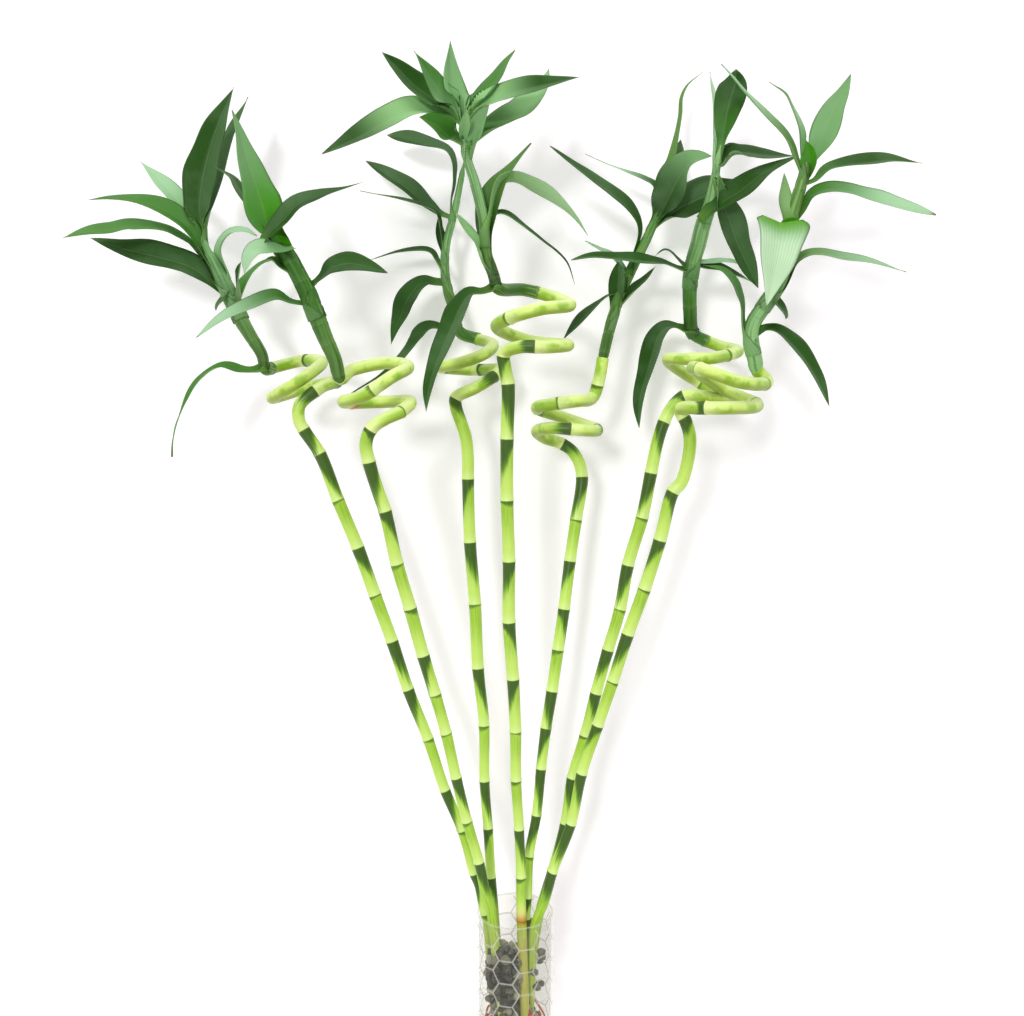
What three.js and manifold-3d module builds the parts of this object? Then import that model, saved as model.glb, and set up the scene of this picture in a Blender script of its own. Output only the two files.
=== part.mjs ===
// Lucky bamboo: seven curled canes with leafy shoots, standing in a glass vase of pebbles and water.
// Millimetres, +Z up. The origin is the middle of the vase's underside, and -Y is the front.
//
// The plant has no straight lines to dimension, so its canes and leaves are drawn in a front view,
// as a draughtsman would, in view units across and down. Each front point is then slid along its
// sight line to the depth where it belongs, and all widths and diameters are real sizes.

import * as THREE from "three";
import * as BufferGeometryUtils from "three/addons/utils/BufferGeometryUtils.js";
import Module from "manifold-3d";

const wasm = await Module();
wasm.setup();

// Vase
const VASE_HEIGHT = 130;
const VASE_RADIUS = 30;
const WALL = 2;
const FLOOR = 8;
const BORE_RADIUS = VASE_RADIUS - WALL;
const NET_COLUMNS = 12;
const NET_RELIEF = 0.6;
const NET_RIB = 1.1;
const NET_FOOT = 5;
const NET_TOP = 127;
const NET_JOINT_HEIGHT = 121.7;
const NET_TURN = -13.9;

// Water and pebbles
const GAP = 0.3;
const WATER_TOP = VASE_HEIGHT - 16;
const WATER_BOTTOM = 99;
const PEBBLE_TOP = 92;
const PEBBLE_SEED = 11;
const PEBBLE_RADIUS = [7.5, 9];
const TOP_PEBBLE_RADIUS = 6;
const PEBBLE_ROW = 15;
const PEBBLE_SPACING = 18;

// Canes
const CANE_RADIUS = 4.7;
const CANE_SIDES = 6;
const NODE_RISE = 0.5;
const NODE_HALF_LENGTH = 1.5;
const HOLE_RADIUS = CANE_RADIUS + NODE_RISE + 0.3;
const CURL_STEP = 11;
const FOOT_CLEARANCE = 1.2;

// Shoots and leaves
const SHOOT_SIDES = 6;
const SHOOT_STEPS = 12;
const SHOOT_TIP_RADIUS = 2.2;
const BLADE_THICKNESS = 1.3;
const BLADE_ROOT_THICKNESS = 3;
const BLADE_FOLD = 0.16;
const BLADE_STATIONS = [0, 0.18, 0.4, 0.68, 1];

// Front view: one unit across at the vase's axis is VIEW_DISTANCE / VIEW_SCALE millimetres.
const VIEW_SCALE = 1104;
const VIEW_CENTRE = [512, 508];
const VIEW_TILT = THREE.MathUtils.degToRad(6.8);
const EYE = new THREE.Vector3(-2.3, -817, 542.8);

const COLOURS = {
  glass: { color: 0xeef4f2, roughness: 0.05, metalness: 0, transparent: true, opacity: 0.35 },
  water: { color: 0xdfeeea, roughness: 0.02, metalness: 0, transparent: true, opacity: 0.4 },
  pebble: { color: 0x3b3c3a, roughness: 0.6, metalness: 0 },
  cane: { color: 0xb0d94a, roughness: 0.4, metalness: 0 },
  shoot: { color: 0x2f7a35, roughness: 0.45, metalness: 0 },
};

// Each cane: where its foot stands (mm), its front or back place at the rim (mm), the front view of
// its stalk, and its curl. A third number of 1 in a stalk point marks a leaf-scar ring. In the curl
// it says which side of the turn the point is on: -1 in front, 1 behind, 0 at the left or right end.
const CANES = [
  {
    foot: [-13, 2],
    rimDepth: 1,
    stalk: [
      [490, 918], [485, 905], [480, 885], [474, 873, 1], [462, 830, 1], [445, 790, 1], [428, 739, 1],
      [408, 689, 1], [392, 641, 1], [375, 595, 1], [358, 548, 1], [338, 500, 1], [320, 454, 1],
      [304, 430, 1], [299, 420],
    ],
    curlDepth: 20,
    curl: [
      [300, 405, -1], [320, 388, -1], [336, 382, 0], [306, 388, 1], [273, 398, 0], [285, 390, -1],
      [305, 377, -1], [322, 362, 0], [300, 361, 1], [275, 367, 1], [265, 368, 0],
    ],
  },
  {
    foot: [-5, -12],
    rimDepth: -10,
    stalk: [
      [490, 905], [486, 895], [479, 862, 1], [467, 821, 1], [456, 777, 1], [446, 733, 1],
      [435, 694, 1], [423, 655, 1], [410, 608, 1], [397, 564, 1], [385, 511, 1], [379, 494],
      [369, 462, 1], [366, 443],
    ],
    curlDepth: -25,
    curl: [
      [372, 428, -1], [385, 419, -1], [400, 412, -1], [410, 402, 0], [380, 402, 1], [344, 402, 0],
      [365, 395, -1], [390, 378, -1], [408, 367, 0], [385, 363, 1], [352, 370, 1], [340, 378, 0],
    ],
  },
  {
    foot: [-8, 12],
    rimDepth: 12,
    stalk: [
      [493, 900], [491, 877, 1], [488, 828, 1], [484.5, 781, 1], [484, 725, 1], [478, 668, 1],
      [475, 604, 1], [470, 542, 1], [468, 479, 1], [468, 459], [466, 438], [462, 425], [456, 407],
    ],
    curlDepth: 40,
    curl: [
      [456, 398, -1], [475, 388, -1], [490, 379, -1], [500, 370, 0], [470, 370, 1], [441, 367, 0],
      [460, 363, -1], [482, 355, -1], [493, 345, 0], [478, 339, 1], [460, 332, 1],
    ],
  },
  {
    foot: [9, -11],
    rimDepth: -8,
    stalk: [
      [521, 900], [521, 877, 1], [519, 829, 1], [516, 780, 1], [515.5, 731, 1], [513, 679, 1],
      [509, 622, 1], [509, 561, 1], [507, 500, 1], [507, 439, 1], [508, 384, 1], [505, 368],
    ],
    curlDepth: -20,
    curl: [
      [504, 354, -1], [520, 347, -1], [545, 347, -1], [568, 345, 0], [530, 341, 1], [497, 327, 0],
      [512, 317, -1], [540, 309, -1], [570, 305, 0], [550, 296, 1], [525, 290, 1], [497, 287, 0],
    ],
  },
  {
    foot: [0, 0],
    rimDepth: 3,
    stalk: [
      [527, 895], [529, 856, 1], [536.5, 815, 1], [541, 769, 1], [546, 728, 1], [552, 691, 1],
      [558, 650, 1], [564, 609, 1], [570, 561, 1], [576, 520, 1], [582, 477, 1], [578, 460],
      [571, 450],
    ],
    curlDepth: 15,
    curl: [
      [560, 443, 1], [545, 438, 1], [537, 431, 0], [555, 428, -1], [580, 430, -1], [597, 430, 0],
      [568, 419, 1], [537, 408, 0], [553, 404, -1], [576, 401, -1], [593, 397, 0], [599, 380, 0],
      [603, 358, 0],
    ],
  },
  {
    foot: [4, 12.5],
    rimDepth: 7,
    stalk: [
      [539, 915], [552, 871, 1], [565, 823, 1], [572, 778, 1], [585, 735.5, 1], [596, 693, 1],
      [608, 650, 1], [620, 609, 1], [628, 565, 1], [642, 518, 1], [651, 473, 1], [658, 440],
      [664, 422, 1], [672, 407],
    ],
    curlDepth: 30,
    curl: [
      [684, 396, -1], [700, 396, -1], [716, 398, -1], [729, 397, 0], [700, 383, 1], [668, 360, 0],
      [685, 359, -1], [712, 358, -1], [738, 351, 0], [720, 346, 1], [704, 340, 1], [693, 333, 1],
    ],
  },
  {
    foot: [14, 3],
    rimDepth: -5,
    stalk: [
      [537, 902], [551, 871], [571, 824], [582, 773, 1], [598, 725, 1], [613, 681, 1], [628, 634, 1],
      [644.5, 589, 1], [660, 540, 1], [673, 492, 1], [681, 483], [688, 460], [690, 438],
      [686, 422],
    ],
    curlDepth: -30,
    curl: [
      [680, 410, 0], [700, 408, -1], [725, 408, -1], [757, 405, 0], [725, 390, 1], [693, 368, 0],
      [710, 372, -1], [740, 382, -1], [767, 381, 0], [757, 370, 0],
    ],
  },
];

// Each shoot goes on from the curl of the cane with the same number. Its stem is a front view with
// its thickness and the depth of its top. Each leaf has its true width, how far its tip comes
// forward (negative) or goes back, how much it is turned (0 shows the upper face flat to the front,
// 90 its edge, 180 the underside), first at the root and then at the tip, and its front view.
const SHOOTS = [
  {
    radius: 4.5,
    topDepth: 30,
    stem: [
      [262, 355], [250, 335], [240, 318], [232, 300], [225, 285], [215, 265], [207, 250],
      [200, 232],
    ],
    leaves: [
      [30, -15, [12, 12], [[203, 235], [200, 200], [207, 160], [218, 125], [234, 87]]],
      [23, 25, [50, 50], [[208, 228], [222, 180], [233, 135], [243, 110], [248, 97]]],
      [21, 20, [50, 50], [[205, 245], [195, 232], [172, 200], [150, 175], [138, 160]]],
      [21, -20, [60, 50],
        [[210, 260], [197, 240], [185, 225], [165, 212], [140, 202], [110, 199], [88, 200]]],
      [23, -45, [70, 50],
        [[205, 255], [180, 236], [163, 229], [130, 227], [110, 230], [88, 232], [62, 238]]],
      [28, -10, [50, 35], [[215, 290], [205, 278], [185, 267], [150, 255], [120, 247], [90, 238]]],
      [18, 15, [60, 60], [[218, 270], [222, 248], [230, 234], [245, 231], [257, 236]]],
      [17, -30, [60, 60], [[232, 300], [238, 280], [241, 262]]],
      [18, 25, [60, 60], [[238, 297], [248, 278], [262, 264], [277, 258]]],
      [14, -20, [50, 50], [[226, 284], [220, 298], [216, 311]]],
      [16, -20, [62, 50],
        [[262, 370], [240, 370], [220, 367], [200, 380], [182, 410], [174, 435], [172, 457]]],
    ],
  },
  {
    radius: 5.2,
    topDepth: -35,
    stem: [
      [335, 360], [325, 335], [315, 310], [303, 285], [293, 265], [285, 245], [276, 222],
    ],
    leaves: [
      [30, -20, [15, 15], [[272, 240], [265, 205], [254, 170], [243, 140], [234, 110]]],
      [23, 20, [60, 50],
        [[278, 240], [274, 226], [285, 213], [300, 202], [325, 194], [350, 186], [367, 182]]],
      [21, -25, [60, 55], [[288, 245], [270, 247], [252, 249], [246, 258], [243, 274]]],
      [21, -15, [60, 42], [[303, 285], [322, 274], [345, 265], [365, 266], [388, 274]]],
      [16, 30, [65, 60], [[275, 235], [257, 212], [240, 190], [232, 178], [220, 168]]],
      [21, -30, [62, 52],
        [[300, 300], [290, 298], [275, 299], [250, 308], [230, 316], [215, 323], [195, 337]]],
    ],
  },
  {
    radius: 4.4,
    topDepth: 55,
    stem: [
      [452, 322], [446, 300], [440, 280], [441, 260], [446, 240], [448, 225], [452, 205],
      [457, 185], [463, 162],
    ],
    leaves: [
      [21, 15, [60, 52], [[450, 212], [440, 208], [425, 203], [395, 180], [366, 160]]],
      [16, -15, [72, 68], [[442, 245], [440, 228], [435, 214], [420, 205], [400, 199], [360, 191]]],
      [15, 10, [70, 66], [[440, 268], [435, 258], [428, 251], [400, 252], [370, 260]]],
      [23, -25, [55, 35],
        [[440, 283], [432, 281], [420, 279], [410, 290], [403, 305], [397, 325], [391, 345]]],
      [21, 20, [55, 48], [[446, 328], [435, 326], [426, 331], [416, 342], [402, 359]]],
      [18, 10, [60, 52],
        [[450, 210], [453, 190], [452, 168], [445, 153], [428, 146], [410, 139], [387, 136]]],
    ],
  },
  {
    radius: 4.6,
    topDepth: -30,
    stem: [
      [488, 265], [483, 245], [480, 220], [477, 200], [472, 180], [466, 160], [462, 140],
      [460, 116],
    ],
    leaves: [
      [23, 10, [58, 58], [[458, 130], [453, 100], [449, 75], [450, 40]]],
      [21, 25, [55, 55], [[452, 115], [440, 92], [427, 72], [414, 51]]],
      [28, -10, [45, 36], [[454, 122], [430, 98], [413, 85], [397, 68], [383, 52]]],
      [25, -30, [66, 40],
        [[455, 124], [430, 111], [410, 112], [385, 122], [360, 135], [345, 145], [322, 154]]],
      [25, -60, [40, 30], [[455, 135], [440, 122], [420, 118], [398, 126]]],
      [21, 20, [60, 60], [[465, 120], [483, 95], [497, 76], [506, 61], [515, 50]]],
      [23, -15, [66, 58], [[466, 118], [490, 100], [515, 92], [540, 86], [562, 81], [580, 77]]],
      [28, 35, [120, 128], [[468, 140], [490, 126], [510, 115], [530, 103], [540, 85], [549, 68]]],
      [18, -25, [55, 55], [[468, 155], [478, 130], [488, 105]]],
      [23, 15, [50, 40], [[486, 238], [490, 210], [498, 185], [512, 172], [522, 157], [530, 143]]],
      [21, -20, [110, 120],
        [[486, 225], [497, 192], [508, 180], [535, 188], [560, 205], [577, 217], [588, 235]]],
      [15, 20, [70, 66], [[486, 214], [503, 214], [520, 227], [545, 247], [566, 262], [576, 285]]],
      [25, -20, [60, 42],
        [[493, 291], [480, 293], [468, 299], [458, 318], [448, 340], [438, 362], [431, 383], [426, 412]]],
      [16, -25, [66, 62], [[487, 262], [478, 245], [465, 228], [455, 212]]],
    ],
  },
  {
    radius: 4.6,
    topDepth: 45,
    stem: [
      [606, 344], [612, 320], [620, 295], [628, 275], [640, 250], [648, 235], [655, 220],
      [662, 200], [670, 178],
    ],
    leaves: [
      [21, -15, [62, 54],
        [[641, 250], [639, 232], [632, 215], [618, 200], [600, 185], [585, 172], [549, 145]]],
      [18, 30, [62, 58], [[657, 195], [652, 184], [640, 178], [620, 170], [585, 153]]],
      [16, 20, [60, 60],
        [[668, 185], [673, 160], [677, 140], [681, 115], [682, 98], [688, 85], [703, 72]]],
      [18, 30, [40, 40], [[668, 190], [675, 165], [681, 140]]],
      [30, -35, [15, 55], [[658, 220], [672, 190], [688, 168], [712, 157]]],
      [28, -8, [40, 30], [[660, 215], [685, 205], [705, 197], [735, 182]]],
      [14, -10, [65, 60], [[628, 268], [610, 256], [585, 241]]],
      [14, -20, [70, 66], [[622, 283], [610, 292], [600, 302], [585, 316], [561, 342]]],
      [14, -15, [65, 62], [[622, 300], [645, 280], [656, 266]]],
    ],
  },
  {
    radius: 5.2,
    topDepth: -5,
    stem: [
      [690, 310], [690, 285], [693, 262], [698, 245], [703, 225], [710, 205], [714, 185],
      [717, 165], [721, 145],
    ],
    leaves: [
      [28, 5, [35, 25], [[720, 165], [725, 135], [728, 105], [732, 86], [736, 72]]],
      [18, 30, [65, 62], [[717, 180], [714, 140], [713, 100], [709, 73]]],
      [21, 20, [62, 55], [[718, 170], [726, 157], [740, 153], [760, 156], [797, 155]]],
      [25, 12, [50, 32], [[712, 190], [728, 215], [738, 240], [748, 262], [758, 288]]],
      [25, -8, [55, 38], [[706, 210], [735, 192], [765, 172], [797, 155]]],
      [14, 25, [65, 65], [[695, 258], [720, 265], [735, 272], [756, 283]]],
      [23, -22, [60, 48],
        [[690, 322], [672, 324], [662, 333], [656, 348], [648, 370], [642, 390], [639, 428]]],
      [12, -10, [60, 60], [[691, 266], [678, 255], [665, 250], [655, 257]]],
      [18, -40, [64, 58], [[694, 267], [670, 264], [640, 262], [610, 261], [572, 260]]],
    ],
  },
  {
    radius: 5.4,
    topDepth: -45,
    stem: [
      [753, 358], [751, 340], [754, 325], [762, 310], [770, 295], [777, 280], [785, 260],
      [788, 240], [791, 215], [797, 195], [803, 175], [810, 158],
    ],
    leaves: [
      [28, -10, [45, 36], [[810, 172], [822, 148], [832, 125], [842, 100], [851, 76]]],
      [14, 15, [65, 65], [[807, 160], [803, 140], [799, 125], [793, 112], [787, 97], [768, 82]]],
      [21, 15, [64, 56], [[805, 180], [828, 171], [845, 166], [870, 162], [909, 161], [922, 163]]],
      [23, -20, [64, 54],
        [[793, 215], [800, 205], [810, 197], [822, 192], [840, 190], [880, 199], [938, 216]]],
      [34, -70, [0, 10], [[787, 222], [783, 225], [778, 236], [772, 258], [767, 282], [764, 304]]],
      [16, -15, [66, 60],
        [[775, 290], [785, 275], [795, 262], [808, 255], [825, 256], [870, 262], [906, 272]]],
      [21, -20, [60, 46], [[757, 332], [768, 326], [783, 338], [800, 358], [812, 378], [829, 406]]],
      [14, -15, [50, 50], [[772, 292], [783, 308], [786, 319]]],
      [18, 5, [140, 140], [[790, 215], [786, 190], [784, 172]]],
      [16, -15, [64, 58], [[750, 330], [740, 305], [735, 288], [727, 275], [700, 265]]],
      [16, 10, [62, 60], [[803, 172], [790, 145], [778, 128], [762, 110], [738, 85]]],
    ],
  },
];

// Front view to space

function slideTo(front, depth) {
  const across = (front[0] - VIEW_CENTRE[0]) / VIEW_SCALE;
  const up = (VIEW_CENTRE[1] - front[1]) / VIEW_SCALE;
  const sight = new THREE.Vector3(
    across,
    Math.cos(VIEW_TILT) + up * Math.sin(VIEW_TILT),
    up * Math.cos(VIEW_TILT) - Math.sin(VIEW_TILT),
  );
  return EYE.clone().addScaledVector(sight, (depth - EYE.y) / sight.y);
}

function mix(from, to, share) {
  return from + (to - from) * share;
}

// Solids

function closedBody(corners, triangles) {
  const geometry = new THREE.BufferGeometry();
  const numbers = corners.flatMap((corner) => corner.toArray());
  geometry.setAttribute("position", new THREE.Float32BufferAttribute(numbers, 3));
  geometry.setIndex(triangles.flat());
  return geometry;
}

// Joins rings of corners, each counter-clockwise about the way they go, and closes both ends.
function loft(rings) {
  const sides = rings[0].length;
  const triangles = [];
  for (let ring = 0; ring + 1 < rings.length; ring += 1) {
    for (let side = 0; side < sides; side += 1) {
      const a = ring * sides + side;
      const b = ring * sides + ((side + 1) % sides);
      triangles.push([a, b, b + sides], [a, b + sides, a + sides]);
    }
  }
  const last = (rings.length - 1) * sides;
  for (let side = 1; side + 1 < sides; side += 1) {
    triangles.push([0, side + 1, side], [last, last + side, last + side + 1]);
  }
  return closedBody(rings.flat(), triangles);
}

// Rings square to a plant's line at the given shares of its length, without twist, one radius for
// each. Close to the cut between cane and shoot they are parallel to it, so the gap there is even.
function tubeRings(line, shares, radii, sides) {
  const rings = [];
  let across = new THREE.Vector3(1, 0, 0);
  shares.forEach((share, i) => {
    const point = line.curve.getPointAt(share);
    const atCut = Math.abs(share - line.cut) * line.length < GAP;
    const way = line.curve.getTangentAt(atCut ? line.cut : share);
    across = across.clone().addScaledVector(way, -across.dot(way)).normalize();
    const other = way.clone().cross(across);
    const ring = [];
    for (let side = 0; side < sides; side += 1) {
      const angle = (2 * Math.PI * side) / sides;
      ring.push(
        point.clone()
          .addScaledVector(across, radii[i] * Math.cos(angle))
          .addScaledVector(other, radii[i] * Math.sin(angle)),
      );
    }
    rings.push(ring);
  });
  return rings;
}

function toSolid(geometry) {
  geometry.deleteAttribute("normal");
  geometry.deleteAttribute("uv");
  const merged = BufferGeometryUtils.mergeVertices(geometry, 1e-4);
  return new wasm.Manifold(
    new wasm.Mesh({
      numProp: 3,
      vertProperties: new Float32Array(merged.attributes.position.array),
      triVerts: new Uint32Array(merged.index.array),
    }),
  );
}

function toGeometry(solid) {
  const { vertProperties, triVerts } = solid.getMesh();
  const geometry = new THREE.BufferGeometry();
  geometry.setAttribute("position", new THREE.BufferAttribute(vertProperties, 3));
  geometry.setIndex(new THREE.BufferAttribute(triVerts, 1));
  return geometry;
}

// The largest of the bodies in a solid, without any loose scrap that a cut left.
function mainBody(solid) {
  return solid.decompose().reduce((best, body) => (body.volume() > best.volume() ? body : best));
}

// Vase: its outside is a net of hexagons, raised as ribs from the wall.

const NET_PITCH = (2 * Math.PI) / NET_COLUMNS;
const NET_CELL_WIDTH = (4 / 3) * NET_PITCH * VASE_RADIUS;
const NET_CELL_HEIGHT = (NET_CELL_WIDTH * Math.sqrt(3)) / 2;
const NET_START = THREE.MathUtils.degToRad(NET_TURN - 90);

function onWall(angle, height, radius) {
  return new THREE.Vector3(radius * Math.cos(angle), radius * Math.sin(angle), height);
}

// The wall's corners round the vase: the six-sided cells meet the plain bands at these angles.
function wallAngles() {
  const angles = [];
  for (let column = 0; column < NET_COLUMNS; column += 2) {
    const middle = NET_START + column * NET_PITCH;
    for (const share of [-1 / 3, 1 / 3, 2 / 3, 4 / 3]) {
      angles.push(middle + share * NET_PITCH);
    }
  }
  return angles;
}

function wallRing(height, radius) {
  return wallAngles().map((angle) => onWall(angle, height, radius));
}

function netCell(middle, height) {
  const corners = [];
  for (let corner = 0; corner < 6; corner += 1) {
    const turn = (corner * Math.PI) / 3;
    const angle = middle + (Math.cos(turn) * NET_CELL_WIDTH) / 2 / VASE_RADIUS;
    const level = height + (Math.sin(turn) * NET_CELL_WIDTH) / 2;
    corners.push([angle, THREE.MathUtils.clamp(level, NET_FOOT, NET_TOP)]);
  }
  return corners;
}

function addNetCell(corners, faces, cell) {
  const levels = cell.map(([, level]) => level);
  const tall = Math.max(...levels) - Math.min(...levels);
  if (tall < 2.5 * NET_RIB) {
    return;
  }
  const centreAngle = (cell[0][0] + cell[3][0]) / 2;
  const centreLevel = (Math.max(...levels) + Math.min(...levels)) / 2;
  const inset = [1 - NET_RIB / (NET_CELL_HEIGHT / 2), 1 - NET_RIB / (tall / 2)];
  const base = corners.length;
  for (const [angle, level] of cell) {
    corners.push(onWall(angle, level, VASE_RADIUS + NET_RELIEF));
  }
  for (const [angle, level] of cell) {
    corners.push(onWall(
      centreAngle + (angle - centreAngle) * inset[0],
      centreLevel + (level - centreLevel) * inset[1],
      VASE_RADIUS,
    ));
  }
  for (let side = 0; side < 6; side += 1) {
    const next = (side + 1) % 6;
    faces.push([base + side, base + next, base + 6 + next], [base + side, base + 6 + next, base + 6 + side]);
  }
  faces.push([base + 6, base + 7, base + 11], [base + 7, base + 8, base + 11]);
  faces.push([base + 8, base + 10, base + 11], [base + 8, base + 9, base + 10]);
}

function addBand(corners, faces, lower, upper) {
  const base = corners.length;
  corners.push(...lower, ...upper);
  const count = lower.length;
  for (let i = 0; i < count; i += 1) {
    const next = (i + 1) % count;
    faces.push([base + i, base + next, base + count + next]);
    faces.push([base + i, base + count + next, base + count + i]);
  }
}

function addDisc(corners, faces, ring, facesUp) {
  const base = corners.length;
  corners.push(...ring, new THREE.Vector3(0, 0, ring[0].z));
  const centre = base + ring.length;
  for (let i = 0; i < ring.length; i += 1) {
    const next = (i + 1) % ring.length;
    faces.push(facesUp ? [centre, base + i, base + next] : [centre, base + next, base + i]);
  }
}

function glassVase() {
  const corners = [];
  const faces = [];
  for (let column = 0; column < NET_COLUMNS; column += 1) {
    const middle = NET_START + column * NET_PITCH;
    const shift = column % 2 === 0 ? NET_CELL_HEIGHT / 2 : 0;
    const rows = Math.ceil(VASE_HEIGHT / NET_CELL_HEIGHT) + 1;
    for (let row = -rows; row <= 1; row += 1) {
      addNetCell(corners, faces, netCell(middle, NET_JOINT_HEIGHT + shift + row * NET_CELL_HEIGHT));
    }
  }
  const profile = [
    [NET_TOP, VASE_RADIUS + NET_RELIEF], [NET_TOP + 1, VASE_RADIUS], [VASE_HEIGHT - 0.6, VASE_RADIUS],
    [VASE_HEIGHT, VASE_RADIUS - 0.6], [VASE_HEIGHT, BORE_RADIUS + 0.6], [VASE_HEIGHT - 0.6, BORE_RADIUS],
    [FLOOR + 2, BORE_RADIUS], [FLOOR, BORE_RADIUS - 2],
  ];
  for (let i = 0; i + 1 < profile.length; i += 1) {
    addBand(corners, faces, wallRing(...profile[i]), wallRing(...profile[i + 1]));
  }
  addDisc(corners, faces, wallRing(FLOOR, BORE_RADIUS - 2), true);
  const foot = [
    [0, VASE_RADIUS - 1.5], [1.5, VASE_RADIUS], [NET_FOOT - 1, VASE_RADIUS],
    [NET_FOOT, VASE_RADIUS + NET_RELIEF],
  ];
  for (let i = 0; i + 1 < foot.length; i += 1) {
    addBand(corners, faces, wallRing(...foot[i]), wallRing(...foot[i + 1]));
  }
  addDisc(corners, faces, wallRing(0, VASE_RADIUS - 1.5), false);
  return BufferGeometryUtils.mergeVertices(closedBody(corners, faces), 1e-3);
}

// Canes

function curlPoints(cane) {
  const across = cane.curl.map(([x]) => x);
  const middle = (Math.min(...across) + Math.max(...across)) / 2;
  const unit = (cane.curlDepth - EYE.y) / VIEW_SCALE;
  const reach = (Math.max(...across) - Math.min(...across)) / 2;
  return cane.curl.map(([x, y, side]) => {
    const rise = Math.sqrt(Math.max(0, reach ** 2 - (x - middle) ** 2)) * unit;
    return slideTo([x, y], cane.curlDepth + side * rise);
  });
}

// A cane's middle line from its foot to the end of its curl, with the places of its rings.
function layOut(cane) {
  const curl = curlPoints(cane);
  const low = cane.stalk[0][1];
  const high = cane.curl[0][1];
  const depthAt = (down) => mix(cane.rimDepth, curl[0].y, (down - low) / (high - low));
  const stalk = cane.stalk.map((front) => slideTo(front, depthAt(front[1])));
  const foot = new THREE.Vector3(cane.foot[0], cane.foot[1], FLOOR + FOOT_CLEARANCE);
  const knee = foot.clone().lerp(stalk[0], 0.5);
  const points = [foot, knee, ...stalk, ...curl];
  const ringPoints = stalk.filter((_, i) => cane.stalk[i][2] === 1);
  return { points, ringPoints, curlStart: curl[0], curlEnd: curl[curl.length - 1] };
}

function nearestShare(samples, target) {
  let best = 0;
  samples.forEach((sample, i) => {
    if (sample.distanceTo(target) < samples[best].distanceTo(target)) {
      best = i;
    }
  });
  return best / (samples.length - 1);
}

// Cane and shoot share one curve, which is cut at the end of the curl.
function plantLine(cane, shoot) {
  const laid = layOut(cane);
  const from = cane.curl[cane.curl.length - 1][1];
  const top = shoot.stem[shoot.stem.length - 1][1];
  const depthAt = (down) => mix(laid.curlEnd.y, shoot.topDepth, (down - from) / (top - from));
  const stem = shoot.stem.map((front) => slideTo(front, depthAt(front[1])));
  const curve = new THREE.CatmullRomCurve3([...laid.points, ...stem], false, "centripetal");
  curve.arcLengthDivisions = 3000;
  const samples = curve.getSpacedPoints(3000);
  return {
    curve,
    length: curve.getLength(),
    rings: laid.ringPoints.map((p) => nearestShare(samples, p)),
    rim: samples.findIndex((p) => p.z > VASE_HEIGHT) / (samples.length - 1),
    curlStart: nearestShare(samples, laid.curlStart),
    cut: nearestShare(samples, laid.curlEnd),
  };
}

function caneStations(line) {
  const half = NODE_HALF_LENGTH / line.length;
  const end = line.cut - GAP / 2 / line.length;
  const stations = [{ at: 0, rise: 0 }];
  for (const at of line.rings) {
    stations.push({ at: at - half, rise: 0 }, { at, rise: NODE_RISE }, { at: at + half, rise: 0 });
  }
  const curlLength = (end - line.curlStart) * line.length;
  const steps = Math.round(curlLength / CURL_STEP);
  for (let step = 0; step <= steps; step += 1) {
    stations.push({ at: mix(line.curlStart, end, step / steps), rise: 0 });
  }
  const last = line.rings[line.rings.length - 1];
  const bends = [
    line.rim / 3, (line.rim * 2) / 3, line.rim, mix(line.rim, line.rings[0], 0.5),
    mix(last, line.curlStart, 0.5),
  ];
  return [...stations, ...bends.map((at) => ({ at, rise: 0 }))].sort((a, b) => a.at - b.at);
}

function caneBody(line) {
  const stations = caneStations(line);
  const radii = stations.map(({ rise }) => CANE_RADIUS + rise);
  return loft(tubeRings(line, stations.map(({ at }) => at), radii, CANE_SIDES));
}

// The plain hole that a cane stands in, through pebbles and water and down to the vase's floor.
function caneHole(line) {
  const inside = caneStations(line).map(({ at }) => at).filter((at) => at <= line.rim);
  const rings = tubeRings(line, inside, inside.map(() => HOLE_RADIUS), CANE_SIDES);
  const under = rings[0].map((corner) => corner.clone().setZ(corner.z - 2 * FOOT_CLEARANCE));
  return toSolid(loft([under, ...rings]));
}

// The end of a cane's curl with a gap all round, to cut the foot of its shoot to.
function curlEndSleeve(line) {
  const end = line.cut + GAP / 2 / line.length;
  const shares = [...caneStations(line).slice(-5).map(({ at }) => at), end];
  return toSolid(loft(tubeRings(line, shares, shares.map(() => CANE_RADIUS + 3 * GAP), CANE_SIDES)));
}

// Shoots

function bladeShape(share) {
  const swell = 0.34 + 0.66 * Math.sin((Math.PI / 2) * Math.min(share / 0.42, 1));
  const taper = 1 - Math.max(0, (share - 0.42) / 0.58) ** 1.7;
  return Math.max(swell * taper, 0.04);
}

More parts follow.
